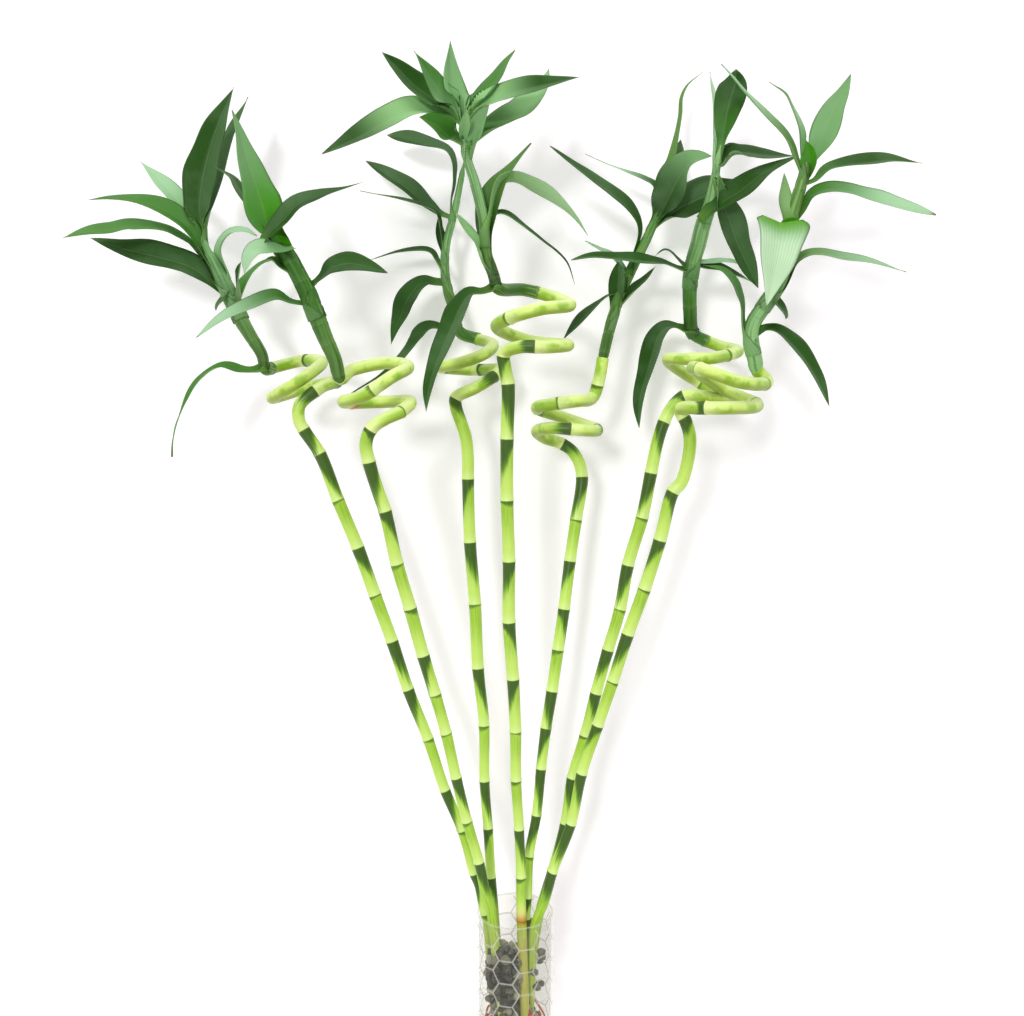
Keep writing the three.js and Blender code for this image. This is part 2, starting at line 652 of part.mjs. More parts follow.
function leafBody(leaf, stemSamples) {
  const [width, reach, turns, front] = leaf;
  const rootGuess = slideTo(front[0], stemSamples[0].y);
  const root = stemSamples.reduce((best, p) => (
    Math.hypot(p.x - rootGuess.x, p.z - rootGuess.z) < Math.hypot(best.x - rootGuess.x, best.z - rootGuess.z)
      ? p : best
  ));
  const away = front.map((p, i) => slideTo(p, root.y + reach * (i / (front.length - 1)) ** 1.2));
  const path = new THREE.CatmullRomCurve3([root, ...away.slice(1)], false, "centripetal");
  const sense = Math.sign(front[front.length - 1][0] - front[0][0]) || 1;
  const toViewer = new THREE.Vector3(0, -1, 0);
  const rings = BLADE_STATIONS.map((share) => {
    const middle = path.getPointAt(share);
    const way = path.getTangentAt(share);
    const facing = toViewer.clone().addScaledVector(way, -toViewer.dot(way)).normalize();
    const rising = facing.clone().cross(way).multiplyScalar(sense);
    const turn = THREE.MathUtils.degToRad(mix(turns[0], turns[1], share));
    const up = facing.clone().multiplyScalar(Math.cos(turn)).addScaledVector(rising, Math.sin(turn));
    const side = up.clone().cross(way);
    const half = (width / 2) * bladeShape(share);
    const thick = mix(BLADE_ROOT_THICKNESS, BLADE_THICKNESS, Math.min(share * 4, 1)) / 2;
    const fold = BLADE_FOLD * half;
    return [
      middle.clone().addScaledVector(up, Math.min(thick, half)),
      middle.clone().addScaledVector(side, -half).addScaledVector(up, fold),
      middle.clone().addScaledVector(up, -Math.min(thick, half)),
      middle.clone().addScaledVector(side, half).addScaledVector(up, fold),
    ];
  });
  return toSolid(loft(rings));
}

function shootBody(line, shoot) {
  const start = line.cut + GAP / 2 / line.length;
  const shares = [];
  const radii = [];
  for (let i = 0; i <= SHOOT_STEPS; i += 1) {
    shares.push(mix(start, 1, i / SHOOT_STEPS));
    radii.push(mix(shoot.radius, SHOOT_TIP_RADIUS, (i / SHOOT_STEPS) ** 1.5));
  }
  const stemSamples = [];
  for (let i = 4; i <= 96; i += 1) {
    stemSamples.push(line.curve.getPointAt(mix(start, 1, i / 100)));
  }
  let body = toSolid(loft(tubeRings(line, shares, radii, SHOOT_SIDES)));
  for (const leaf of shoot.leaves) {
    body = body.add(leafBody(leaf, stemSamples));
  }
  return mainBody(body.subtract(curlEndSleeve(line)));
}

// Pebbles and water

function seeded(seed) {
  let state = seed;
  return () => {
    state = (state * 1664525 + 1013904223) % 4294967296;
    return state / 4294967296;
  };
}

function pebble(place, size, random) {
  const stone = new THREE.IcosahedronGeometry(1, 0);
  stone.scale(size, size * mix(0.7, 0.9, random()), size * mix(0.55, 0.8, random()));
  stone.rotateX(random() * Math.PI).rotateZ(random() * Math.PI * 2);
  stone.translate(place.x, place.y, place.z);
  return toSolid(stone);
}

// The heap's own radius: full width low down, drawn in round the canes higher up.
function heapRadius(height) {
  const share = THREE.MathUtils.smoothstep(height, 30, 58);
  return mix(20, 15.5, share);
}

function pebbleBed(holes) {
  const random = seeded(PEBBLE_SEED);
  const bottom = FLOOR + GAP;
  const profile = [new THREE.Vector2(0, bottom), new THREE.Vector2(20, bottom)];
  for (let height = 18; height <= PEBBLE_TOP - 6; height += 14) {
    profile.push(new THREE.Vector2(heapRadius(height), height));
  }
  profile.push(new THREE.Vector2(12, PEBBLE_TOP - 2), new THREE.Vector2(0, PEBBLE_TOP));
  let bed = toSolid(new THREE.LatheGeometry(profile, 12).rotateX(Math.PI / 2));
  let row = 0;
  for (let height = bottom + 6; height < PEBBLE_TOP - 3; height += PEBBLE_ROW) {
    const radius = heapRadius(height);
    const count = Math.round((2 * Math.PI * radius) / PEBBLE_SPACING);
    for (let i = 0; i < count; i += 1) {
      const angle = ((i + 0.5 * (row % 2) + 0.3 * random()) / count) * 2 * Math.PI;
      const place = onWall(angle, height + mix(-1.5, 1.5, random()), radius + mix(-1, 1, random()));
      bed = bed.add(pebble(place, mix(...PEBBLE_RADIUS, random()), random));
    }
    row += 1;
  }
  for (let i = 0; i < 5; i += 1) {
    const angle = (i / 5) * 2 * Math.PI;
    bed = bed.add(pebble(onWall(angle, PEBBLE_TOP - 1, mix(5, 11, random())), TOP_PEBBLE_RADIUS, random));
  }
  const room = toSolid(loft([
    wallRing(bottom, BORE_RADIUS - 2.5),
    wallRing(bottom + 2.5, BORE_RADIUS - GAP - 0.1),
    wallRing(WATER_BOTTOM - GAP, BORE_RADIUS - GAP - 0.1),
  ]));
  bed = bed.intersect(room);
  for (const hole of holes) {
    bed = bed.subtract(hole);
  }
  return mainBody(bed);
}

function waterBody(holes) {
  const radius = BORE_RADIUS - GAP - 0.1;
  let water = toSolid(loft([wallRing(WATER_BOTTOM, radius), wallRing(WATER_TOP, radius)]));
  for (const hole of holes) {
    water = water.subtract(hole);
  }
  return mainBody(water);
}

// Assembly

function addPiece(group, name, geometry, look) {
  geometry.computeVertexNormals();
  const mesh = new THREE.Mesh(geometry, new THREE.MeshStandardMaterial(look));
  mesh.name = name;
  group.add(mesh);
}

const group = new THREE.Group();
const lines = CANES.map((cane, i) => plantLine(cane, SHOOTS[i]));
const holes = lines.map(caneHole);

addPiece(group, "glass_vase", glassVase(), COLOURS.glass);
addPiece(group, "pebble_bed", toGeometry(pebbleBed(holes)), COLOURS.pebble);
addPiece(group, "water", toGeometry(waterBody(holes)), COLOURS.water);
lines.forEach((line, i) => {
  addPiece(group, `cane_${i + 1}`, caneBody(line), COLOURS.cane);
  addPiece(group, `leafy_shoot_${i + 1}`, toGeometry(shootBody(line, SHOOTS[i])), COLOURS.shoot);
});

export default group;
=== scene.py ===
"""Lucky bamboo: seven curled canes with leafy shoots in a clear vase of pebbles and water.

The canes and leaves are drawn in a front view, in view units across and down, as their solids are.
Each front point is slid along its sight line to its depth. Sizes are in millimetres, and a mesh is
turned into metres as it is made.
"""

import logging
import math
import random
from dataclasses import dataclass, field
from enum import Enum, IntEnum
from typing import Any

import bmesh
import bpy
import numpy as np
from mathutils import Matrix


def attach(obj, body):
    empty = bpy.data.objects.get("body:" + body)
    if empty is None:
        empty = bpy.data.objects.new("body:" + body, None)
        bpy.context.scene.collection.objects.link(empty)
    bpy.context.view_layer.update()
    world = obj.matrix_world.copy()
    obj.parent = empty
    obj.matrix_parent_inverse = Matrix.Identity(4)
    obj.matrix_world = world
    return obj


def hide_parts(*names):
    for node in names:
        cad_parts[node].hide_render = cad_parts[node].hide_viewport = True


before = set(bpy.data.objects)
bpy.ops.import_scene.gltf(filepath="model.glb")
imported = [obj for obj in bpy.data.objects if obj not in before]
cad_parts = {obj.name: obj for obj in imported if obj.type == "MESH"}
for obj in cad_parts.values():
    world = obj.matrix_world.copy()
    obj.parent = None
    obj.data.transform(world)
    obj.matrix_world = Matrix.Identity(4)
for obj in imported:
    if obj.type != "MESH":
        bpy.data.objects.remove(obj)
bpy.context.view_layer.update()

METRES = 0.001
BODY = "root"

Array = np.ndarray
Front = tuple[float, ...]
Marks = dict[str, Array]
Material = bpy.types.Material
Pair = tuple[float, float]
Socket = bpy.types.NodeSocket

log = logging.getLogger("lucky_bamboo")


class Band(IntEnum):
    """How a leaf-scar ring of a cane looks; after a SHOOT ring the cane is as green as its shoot.

    The dark below a FULL ring covers the whole front, and below a DARK ring it leans to one side.
    """

    PLAIN = 1
    DARK = 2
    TAN = 3
    SHOOT = 4
    FULL = 5


class Tone(Enum):
    """The green of a leaf or a stem, seen from above."""

    DEEP = "#2B5218"
    MID = "#47802C"
    FRESH = "#80B272"
    BRIGHT = "#459800"
    PALE = "#ACD6A8"
    LIGHT = "#C8E8BE"
    STALK = "#679446"
    SAP = "#96C884"

    @property
    def linear(self) -> Array:
        """The tone in linear light, with an alpha of 1."""
        return np.asarray(ink(self.value))


def ink(code: str) -> tuple[float, float, float, float]:
    """Turns a colour as a painter mixes it into linear light.

    Args:
        code: The colour as #RRGGBB.

    Returns:
        Red, green, blue and an alpha of 1.
    """
    parts = [int(code[i:i + 2], 16) / 255 for i in (1, 3, 5)]
    light = [c / 12.92 if c <= 0.04045 else ((c + 0.055) / 1.055) ** 2.4 for c in parts]
    return (*light, 1.0)


def soft_step(value: Array, low: float, high: float) -> Array:
    """Goes smoothly from 0 at low to 1 at high.

    Args:
        value: What is measured.
        low: Where the step starts.
        high: Where the step ends.

    Returns:
        The step's height for each value.
    """
    share = np.clip((np.asarray(value, float) - low) / (high - low), 0, 1)
    return share * share * (3 - 2 * share)


def unit(vectors: Array) -> Array:
    """Scales each row to a length of 1."""
    return vectors / np.maximum(np.linalg.norm(vectors, axis=-1, keepdims=True), 1e-9)


def mix(low: float, high: float, share: float) -> float:
    """Goes from low to high by a share."""
    return low + (high - low) * share


def ridge(distance: Array, size: Pair) -> Array:
    """Gives how high a ridge is at a distance from its top. Its size is its height and its width."""
    return size[0] * np.exp(-(distance / size[1]) ** 2)


def ring_faces(rings: int, sides: int) -> list[tuple[int, ...]]:
    """Joins rings of points, which are numbered ring by ring.

    Args:
        rings: How many rings there are.
        sides: How many points each has.

    Returns:
        The four-sided faces between each ring and the next.
    """
    faces = []
    for ring in range(rings - 1):
        for i in range(sides):
            a, b = ring * sides + i, ring * sides + (i + 1) % sides
            faces.append((a, b, b + sides, a + sides))
    return faces


@dataclass(frozen=True)
class View:
    """The front view that the plant is drawn in, and the camera that sees it so."""

    scale: float = 1104
    centre: Pair = (512, 508)
    width: float = 1024
    tilt_deg: float = 6.8
    eye: tuple[float, float, float] = (-2.3, -817, 542.8)
    sensor: float = 36

    @property
    def tilt(self) -> Pair:
        """The cosine and the sine of how far the camera looks down."""
        return math.cos(math.radians(self.tilt_deg)), math.sin(math.radians(self.tilt_deg))

    def slide(self, front: Any, depth: Any) -> Array:
        """Slides front points along their sight lines.

        Args:
            front: Points across and down, one a row.
            depth: The depth (Y) of each, or of all.

        Returns:
            The points in space, in millimetres.
        """
        front = np.atleast_2d(np.asarray([point[:2] for point in front], float))
        across = (front[:, 0] - self.centre[0]) / self.scale
        up = (self.centre[1] - front[:, 1]) / self.scale
        cos, sin = self.tilt
        sight = np.stack([across, cos + up * sin, up * cos - sin], axis=1)
        eye = np.asarray(self.eye, float)
        return eye + sight * ((np.asarray(depth, float) - eye[1]) / sight[:, 1])[:, None]

    def front_of(self, points: Array) -> Array:
        """Gives where points in space show in the front view.

        Args:
            points: Points in space, one a row.

        Returns:
            Their places across and down.
        """
        cos, sin = self.tilt
        sight = points - np.asarray(self.eye, float)
        deep = sight[:, 1] * cos - sight[:, 2] * sin
        up = sight[:, 1] * sin + sight[:, 2] * cos
        across = self.centre[0] + self.scale * sight[:, 0] / deep
        return np.stack([across, self.centre[1] - self.scale * up / deep], axis=1)

    def add_camera(self) -> None:
        """Makes the camera, and sets it as the scene's own."""
        data = bpy.data.cameras.new("front_camera")
        data.sensor_fit = "HORIZONTAL"
        data.sensor_width = self.sensor
        data.lens = self.sensor * self.scale / self.width
        camera = bpy.data.objects.new("front_camera", data)
        camera.location = [value * METRES for value in self.eye]
        camera.rotation_euler = (math.radians(90 - self.tilt_deg), 0, 0)
        bpy.context.scene.collection.objects.link(camera)
        bpy.context.scene.camera = camera


@dataclass(frozen=True)
class SmoothPath:
    """A smooth line through points, measured by its length."""

    dense: Array
    run: Array

    @classmethod
    def through(cls, points: Any, divisions: int) -> "SmoothPath":
        """Draws a centripetal Catmull-Rom line.

        Args:
            points: What it goes through, one point a row.
            divisions: How finely it is measured.

        Returns:
            The smooth line.
        """
        points = np.asarray(points, float)
        count = len(points)
        place = np.linspace(0, count - 1, divisions + 1)
        span = np.minimum(place.astype(int), count - 2)
        share = (place - span)[:, None]
        ends = np.vstack([2 * points[0] - points[1], points, 2 * points[-1] - points[-2]])
        a, b, c, d = (ends[span + i] for i in range(4))
        pairs = ((a, b), (b, c), (c, d))
        gaps = [np.sqrt(np.linalg.norm(q - p, axis=1, keepdims=True)) for p, q in pairs]
        before, within, after = (np.maximum(gap, 1e-4) for gap in gaps)
        start = ((b - a) / before - (c - a) / (before + within) + (c - b) / within) * within
        stop = ((c - b) / within - (d - b) / (within + after) + (d - c) / after) * within
        dense = (b + start * share + (-3 * b + 3 * c - 2 * start - stop) * share ** 2
                 + (2 * b - 2 * c + start + stop) * share ** 3)
        steps = np.linalg.norm(np.diff(dense, axis=0), axis=1)
        return cls(dense, np.concatenate([[0], np.cumsum(steps)]))

    @property
    def length(self) -> float:
        """The line's length."""
        return float(self.run[-1])

    def at(self, run: Any) -> Array:
        """Gives points on the line.

        Args:
            run: Lengths along the line.

        Returns:
            One point a row.
        """
        return np.stack([np.interp(run, self.run, self.dense[:, i]) for i in range(3)], axis=-1)

    def way(self, run: Any) -> Array:
        """Gives the line's direction.

        Args:
            run: Lengths along the line.

        Returns:
            One direction a row, of length 1.
        """
        step = max(self.length * 1e-3, 0.05)
        return unit(self.at(np.asarray(run, float) + step) - self.at(np.asarray(run, float) - step))

    def nearest(self, target: Array) -> float:
        """Gives the length along the line where it is nearest to a point."""
        return float(self.run[np.argmin(np.linalg.norm(self.dense - target, axis=1))])


@dataclass
class Graph:
    """A node tree, with short calls that add nodes and join them."""

    tree: bpy.types.NodeTree

    def put(self, socket: Socket, value: Any) -> None:
        """Joins a value to a socket.

        Args:
            socket: An input of a node.
            value: Another node's output, a plain value, or None to leave the socket as it is.
        """
        if isinstance(value, Socket):
            self.tree.links.new(value, socket)
        elif value is not None:
            socket.default_value = value

    def add(self, kind: str, *values: Any, out: int = 0, **settings: Any) -> Socket:
        """Adds a node.

        Args:
            kind: The node's type.
            *values: What goes into its inputs, in their order.
            out: Which output is wanted.
            **settings: The node's own settings.

        Returns:
            The wanted output.
        """
        node = self.tree.nodes.new(kind)
        for name, value in settings.items():
            setattr(node, name, value)
        for socket, value in zip(node.inputs, values):
            self.put(socket, value)
        return node.outputs[out]

    def math(self, operation: str, *values: Any) -> Socket:
        """Adds a sum, product or other calculation."""
        return self.add("ShaderNodeMath", *values, operation=operation)

    def soft(self, value: Any, low: float, high: float, to_low: float = 0, to_high: float = 1) -> Any:
        """Goes smoothly from to_low where the value is low to to_high where it is high."""
        return self.add("ShaderNodeMapRange", value, low, high, to_low, to_high,
                        interpolation_type="SMOOTHSTEP")

    def blend(self, share: Any, low: Any, high: Any) -> Socket:
        """Mixes two colours by a share."""
        empty = (None,) * 5
        return self.add("ShaderNodeMix", share, *empty, low, high, out=2, data_type="RGBA")

    def mark(self, name: str, out: int = 2) -> Socket:
        """Reads what a mesh says at its points: output 0 is a colour, 1 a vector and 2 a number."""
        return self.add("ShaderNodeAttribute", out=out, attribute_name=name)

    def noise(self, place: Any, scale: float, detail: float = 2, rough: float = 0.5) -> Any:
        """Adds cloudy noise, from 0 to 1."""
        return self.add("ShaderNodeTexNoise", place, None, scale, detail, rough)

    def place(self) -> Socket:
        """Reads the object's own coordinates, in metres."""
        return self.add("ShaderNodeTexCoord", out=3)

    def fibres(self, pace: float, scale: float) -> Socket:
        """Adds noise that is drawn out along a tube, by the marks that a swept line carries.

        Args:
            pace: How fast it changes along the tube, for each millimetre.
            scale: How fine it is across the tube.

        Returns:
            The streaks, from 0 to 1.
        """
        along = self.add("ShaderNodeCombineXYZ", 0.0, 0.0, self.math("MULTIPLY", self.mark("run"), pace))
        place = self.add("ShaderNodeVectorMath", self.mark("around", out=1), along, operation="ADD")
        return self.noise(place, scale, 3)

    def give(self, made: Socket) -> bpy.types.NodeTree:
        """Joins what a Geometry Nodes tree makes to its output, and gives the tree."""
        self.put(self.tree.nodes.new("NodeGroupOutput").inputs[0], made)
        return self.tree

    def bump(self, height: Any, distance: float, strength: float) -> Socket:
        """Raises the surface a little.

        Args:
            height: The pattern, from 0 to 1.
            distance: How high it stands, in metres.
            strength: How much of it shows.

        Returns:
            The turned normal.
        """
        node = self.tree.nodes.new("ShaderNodeBump")
        node.inputs["Strength"].default_value = strength
        node.inputs["Distance"].default_value = distance
        self.put(node.inputs["Height"], height)
        return node.outputs["Normal"]

    def surface(self, **values: Any) -> Socket:
        """Adds the main shader.

        Args:
            **values: Its inputs by name, with _ for a space.

        Returns:
            The shader's output.
        """
        node = self.tree.nodes.new("ShaderNodeBsdfPrincipled")
        for name, value in values.items():
            self.put(node.inputs[name.replace("_", " ")], value)
        return node.outputs["BSDF"]


def new_material(name: str) -> tuple[Material, Graph]:
    """Starts a material with nothing in it but its output.

    Args:
        name: The finish's name.

    Returns:
        The material, and the graph that fills it.
    """
    material = bpy.data.materials.new(name)
    material.use_nodes = True
    material.node_tree.nodes.clear()
    return material, Graph(material.node_tree)


def show(material: Material, shader: Socket) -> Material:
    """Joins a shader to a material's output.

    Args:
        material: The material.
        shader: The shader's output.

    Returns:
        The same material.
    """
    output = material.node_tree.nodes.new("ShaderNodeOutputMaterial")
    material.node_tree.links.new(shader, output.inputs["Surface"])
    return material


@dataclass(frozen=True)
class CaneFinish:
    """The waxy skin of a cane: dark bands under the rings that fade to light green, pale ends, and on the
    curl a painted highlight on top and painted shade underneath.

    A pair says where a colour starts and where it is full: an end or an edge in millimetres from a
    ring, the fade in reaches of the band, and a height as a share of the way to the next ring. The
    slant is how much farther a band reaches on one side, and how far it reaches in the middle.
    """

    light: str = "#AAD246"
    streak: str = "#8EBA2C"
    lime: str = "#C8E96C"
    pale: str = "#DAF294"
    fading: str = "#6E9E26"
    dark: str = "#42621C"
    curl: str = "#D6F07A"
    # The pale end above a ring, and also the painted highlight on top of the curl.
    bright: str = "#F0FCB0"
    green: str = "#8EC226"
    # The painted olive shade on the curl's underside.
    underside_shade: str = "#8AA21C"
    wet: str = "#C4BC56"
    tan: str = "#B5771F"
    cream: str = "#F0D98A"
    ring: str = "#6F8140"
    shoot: str = "#3F6E24"
    fibre_pace: float = 0.012
    fibre_scale: float = 3.2
    cloud_scale: float = 90
    shortest_band: float = 1.2
    slant: Pair = (0.42, 0.6)
    fade: Pair = (1.3, 0.3)
    lime_height: Pair = (0.8, 0.2)
    pale_end: Pair = (10, 1)
    bright_end: Pair = (12, 1)
    green_end: Pair = (26, 5)
    ring_edge: Pair = (0.9, 0.25)
    relief: float = 0.00012

    def curl_colour(self, graph: Graph, clouds: Any) -> Socket:
        """Mixes the curl's mottled greens, with a painted highlight that makes them brighter on top and
        painted olive shade underneath, by which way the skin faces.

        Args:
            graph: The material's graph.
            clouds: The skin's mottling.

        Returns:
            The curl's colour.
        """
        colour = graph.blend(graph.soft(clouds, 0.47, 0.66, 0, 0.85), ink(self.curl), ink(self.green))
        green = graph.soft(graph.mark("below"), *self.green_end, 0, 0.75)
        colour = graph.blend(green, colour, ink(self.green))
        # Painted light: where the skin faces up the curl is lightened as a highlight, and where it faces
        # down it is darkened as shade.
        upward = graph.add("ShaderNodeSeparateXYZ", graph.add("ShaderNodeNewGeometry", out=1), out=2)
        colour = graph.blend(graph.soft(upward, 0.1, 0.85, 0, 0.7), colour, ink(self.bright))
        colour = graph.blend(graph.soft(upward, 0.1, -0.7, 0, 0.85), colour, ink(self.underside_shade))
        bright = graph.soft(graph.mark("above"), *self.bright_end, 0, 0.5)
        return graph.blend(bright, colour, ink(self.bright))

    def material(self) -> Material:
        """Builds the skin.

        Returns:
            The material, which reads the marks that a cane's mesh carries.
        """
        material, graph = new_material("cane_skin")
        streaks = graph.fibres(self.fibre_pace, self.fibre_scale)
        clouds = graph.noise(graph.place(), self.cloud_scale, 3)
        above, below = graph.mark("above"), graph.mark("below")
        slant = graph.math("MULTIPLY_ADD", graph.mark("side"), *self.slant)
        span = graph.math("MAXIMUM", graph.math("MULTIPLY", graph.mark("reach"), slant), self.shortest_band)
        depth = graph.math("DIVIDE", below, span)
        depth = graph.math("ADD", depth, graph.math("MULTIPLY_ADD", streaks, 0.8, -0.4))
        band = graph.math("MULTIPLY", graph.soft(depth, *self.fade), graph.mark("dark"))
        height = graph.math("DIVIDE", above, graph.math("ADD", above, below))
        colour = graph.blend(graph.soft(streaks, 0.42, 0.72), ink(self.light), ink(self.streak))
        colour = graph.blend(graph.soft(height, *self.lime_height), colour, ink(self.lime))
        colour = graph.blend(graph.soft(above, *self.pale_end, 0, 0.7), colour, ink(self.pale))
        colour = graph.blend(graph.mark("curl"), colour, self.curl_colour(graph, clouds))
        colour = graph.blend(graph.mark("cream"), colour, ink(self.cream))
        leafy = graph.math("MULTIPLY", graph.mark("leafy"), graph.soft(streaks, 0.3, 0.5, 0.75, 1))
        colour = graph.blend(leafy, colour, ink(self.shoot))
        colour = graph.blend(graph.soft(band, 0.0, 0.6), colour, ink(self.fading))
        colour = graph.blend(graph.soft(band, 0.3, 0.95), colour, ink(self.dark))
        colour = graph.blend(graph.mark("wet"), colour, ink(self.wet))
        colour = graph.blend(graph.mark("tan"), colour, ink(self.tan))
        colour = graph.blend(graph.soft(below, *self.ring_edge, 0, 0.7), colour, ink(self.ring))
        rough = graph.math("MULTIPLY_ADD", clouds, 0.12, 0.3)
        normal = graph.bump(graph.math("ADD", streaks, clouds), self.relief, 0.5)
        return show(material, graph.surface(Base_Color=colour, Roughness=rough, Normal=normal,
                                            Specular_IOR_Level=0.35))


@dataclass(frozen=True)
class StemFinish:
    """The skin of a shoot's stem: wrapped leaf bases with a pale edge at each ring."""

    pale: str = "#9CC077"
    shade: str = "#2C4F14"
    fibre_pace: float = 0.01
    fibre_scale: float = 1.6
    foot_length: float = 42
    pale_edge: Pair = (6, 0.2)
    dark_edge: Pair = (1, 0.2)
    relief: float = 0.0001

    def material(self) -> Material:
        """Builds the skin.

        Returns:
            The material, which reads the marks that a stem's mesh carries.
        """
        material, graph = new_material("stem_skin")
        streaks = graph.fibres(self.fibre_pace, self.fibre_scale)
        tint = graph.mark("tint", out=0)
        colour = graph.blend(graph.soft(streaks, 0.45, 0.65, 0, 0.6), tint, ink(self.shade))
        colour = graph.blend(graph.soft(streaks, 0.5, 0.34, 0, 0.4), colour, ink(self.pale))
        foot = graph.soft(graph.mark("run"), self.foot_length, 0)
        foot = graph.math("MULTIPLY", foot, graph.mark("foot"))
        colour = graph.blend(foot, colour, ink(self.shade))
        light = graph.soft(graph.mark("above"), *self.pale_edge, 0, 0.08)
        colour = graph.blend(light, colour, ink(self.pale))
        dark = graph.soft(graph.mark("below"), *self.dark_edge, 0, 0.14)
        colour = graph.blend(dark, colour, ink(self.shade))
        normal = graph.bump(streaks, self.relief, 0.5)
        return show(material, graph.surface(Base_Color=colour, Roughness=0.45, Normal=normal,
                                            Specular_IOR_Level=0.25))


@dataclass(frozen=True)
class LeafFinish:
    """A leaf's two faces: veins along the blade, a pale midrib, a paler underside, and a painted sheen in
    cloudy patches and on one lit half of the fold.

    The rib and the margin are shares of half the width, from the middle. The young end and the
    withered tip are shares of the blade's length, from its root.
    """

    underside: str = "#93BE7E"
    young: str = "#7BB23C"
    # The painted sheen: a pale grey-green that stands in for soft reflections of light on the blade.
    sheen: str = "#8DB085"
    rib: str = "#A6CC88"
    withered: str = "#7E7A55"
    groove: tuple[float, ...] = (0.02, 0.08, 0.02, 1)
    veins: float = 46
    cloud_scale: float = 38
    rib_width: Pair = (0.06, 0.01)
    margin: Pair = (0.9, 1)
    young_end: Pair = (0.2, 0)
    withered_tip: Pair = (0.95, 1)
    relief: float = 0.00015

    def material(self) -> Material:
        """Builds the blade's finish.

        Returns:
            The material, which reads the marks that a leaf's mesh carries.
        """
        material, graph = new_material("leaf_blade")
        across = graph.mark("across")
        along = graph.mark("along")
        upper = graph.math("GREATER_THAN", graph.mark("upper"), 0.5)
        clouds = graph.noise(graph.place(), self.cloud_scale, 3)
        waver = graph.math("MULTIPLY_ADD", clouds, 1.2, graph.math("MULTIPLY", across, self.veins))
        veins = graph.math("MULTIPLY_ADD", graph.math("SINE", waver), 0.5, 0.5)
        middle = graph.soft(graph.math("ABSOLUTE", across), *self.rib_width)
        edge = graph.soft(graph.math("ABSOLUTE", across), *self.margin)
        tint = graph.mark("tint", out=0)
        # Painted sheen: cloudy patches, and the half of the fold that the lit mark picks, are paled toward
        # the sheen colour.
        colour = graph.blend(graph.soft(clouds, 0.4, 0.75, 0, 0.16), tint, ink(self.sheen))
        colour = graph.blend(graph.math("MULTIPLY", graph.mark("lit"), 0.5), colour, ink(self.sheen))
        colour = graph.blend(graph.math("MULTIPLY", veins, 0.14), colour, self.groove)
        young = graph.soft(along, *self.young_end, 0, 0.35)
        young = graph.math("MULTIPLY", young, graph.soft(along, -0.06, 0.02))
        colour = graph.blend(young, colour, ink(self.young))
        under = graph.blend(graph.soft(along, -0.05, 0.3, 0.05, 0.62), colour, ink(self.underside))
        colour = graph.blend(upper, under, colour)
        colour = graph.blend(graph.math("MULTIPLY", middle, 0.12), colour, ink(self.rib))
        colour = graph.blend(graph.math("MULTIPLY", edge, 0.2), colour, ink(self.rib))
        colour = graph.blend(graph.soft(along, *self.withered_tip, 0, 0.9), colour, ink(self.withered))
        height = graph.math("SUBTRACT", graph.math("MULTIPLY", veins, 0.3), middle)
        rough = graph.math("MULTIPLY_ADD", clouds, 0.2, 0.4)
        normal = graph.bump(height, self.relief, 0.6)
        return show(material, graph.surface(Base_Color=colour, Roughness=rough, Normal=normal,
                                            Specular_IOR_Level=0.1))


@dataclass(frozen=True)
class PebbleFinish:
    """Wet dark river pebbles, each with its own grey."""

    dark: str = "#2C2D24"
    grey: str = "#A09C88"
    grain_scale: float = 700
    relief: float = 0.0002

    def material(self) -> Material:
        """Builds the stone.

        Returns:
            The material, which reads each pebble's own shade.
        """
        material, graph = new_material("river_pebble")
        grain = graph.noise(graph.place(), self.grain_scale, 4, 0.6)
        shade = graph.math("MULTIPLY_ADD", grain, 0.35, graph.mark("shade"))
        colour = graph.blend(graph.soft(shade, 0.3, 1.2), ink(self.dark), ink(self.grey))
        normal = graph.bump(grain, self.relief, 0.6)
        return show(material, graph.surface(Base_Color=colour, Roughness=0.34, Normal=normal))


@dataclass(frozen=True)
class RootFinish:
    """Smooth orange-red roots, paler toward their tips."""

    red: str = "#B7441F"
    tip: str = "#EFA35E"
    grain_scale: float = 400
    relief: float = 0.0001

    def material(self) -> Material:
        """Builds the root's skin.

        Returns:
            The material, which reads how far along the root a point is.
        """
        material, graph = new_material("root_skin")
        grain = graph.noise(graph.place(), self.grain_scale, 3)
        share = graph.math("MULTIPLY_ADD", grain, 0.4, graph.mark("share"))
        colour = graph.blend(graph.soft(share, 0.5, 1.2), ink(self.red), ink(self.tip))
        normal = graph.bump(grain, self.relief, 0.5)
        return show(material, graph.surface(Base_Color=colour, Roughness=0.5, Normal=normal))


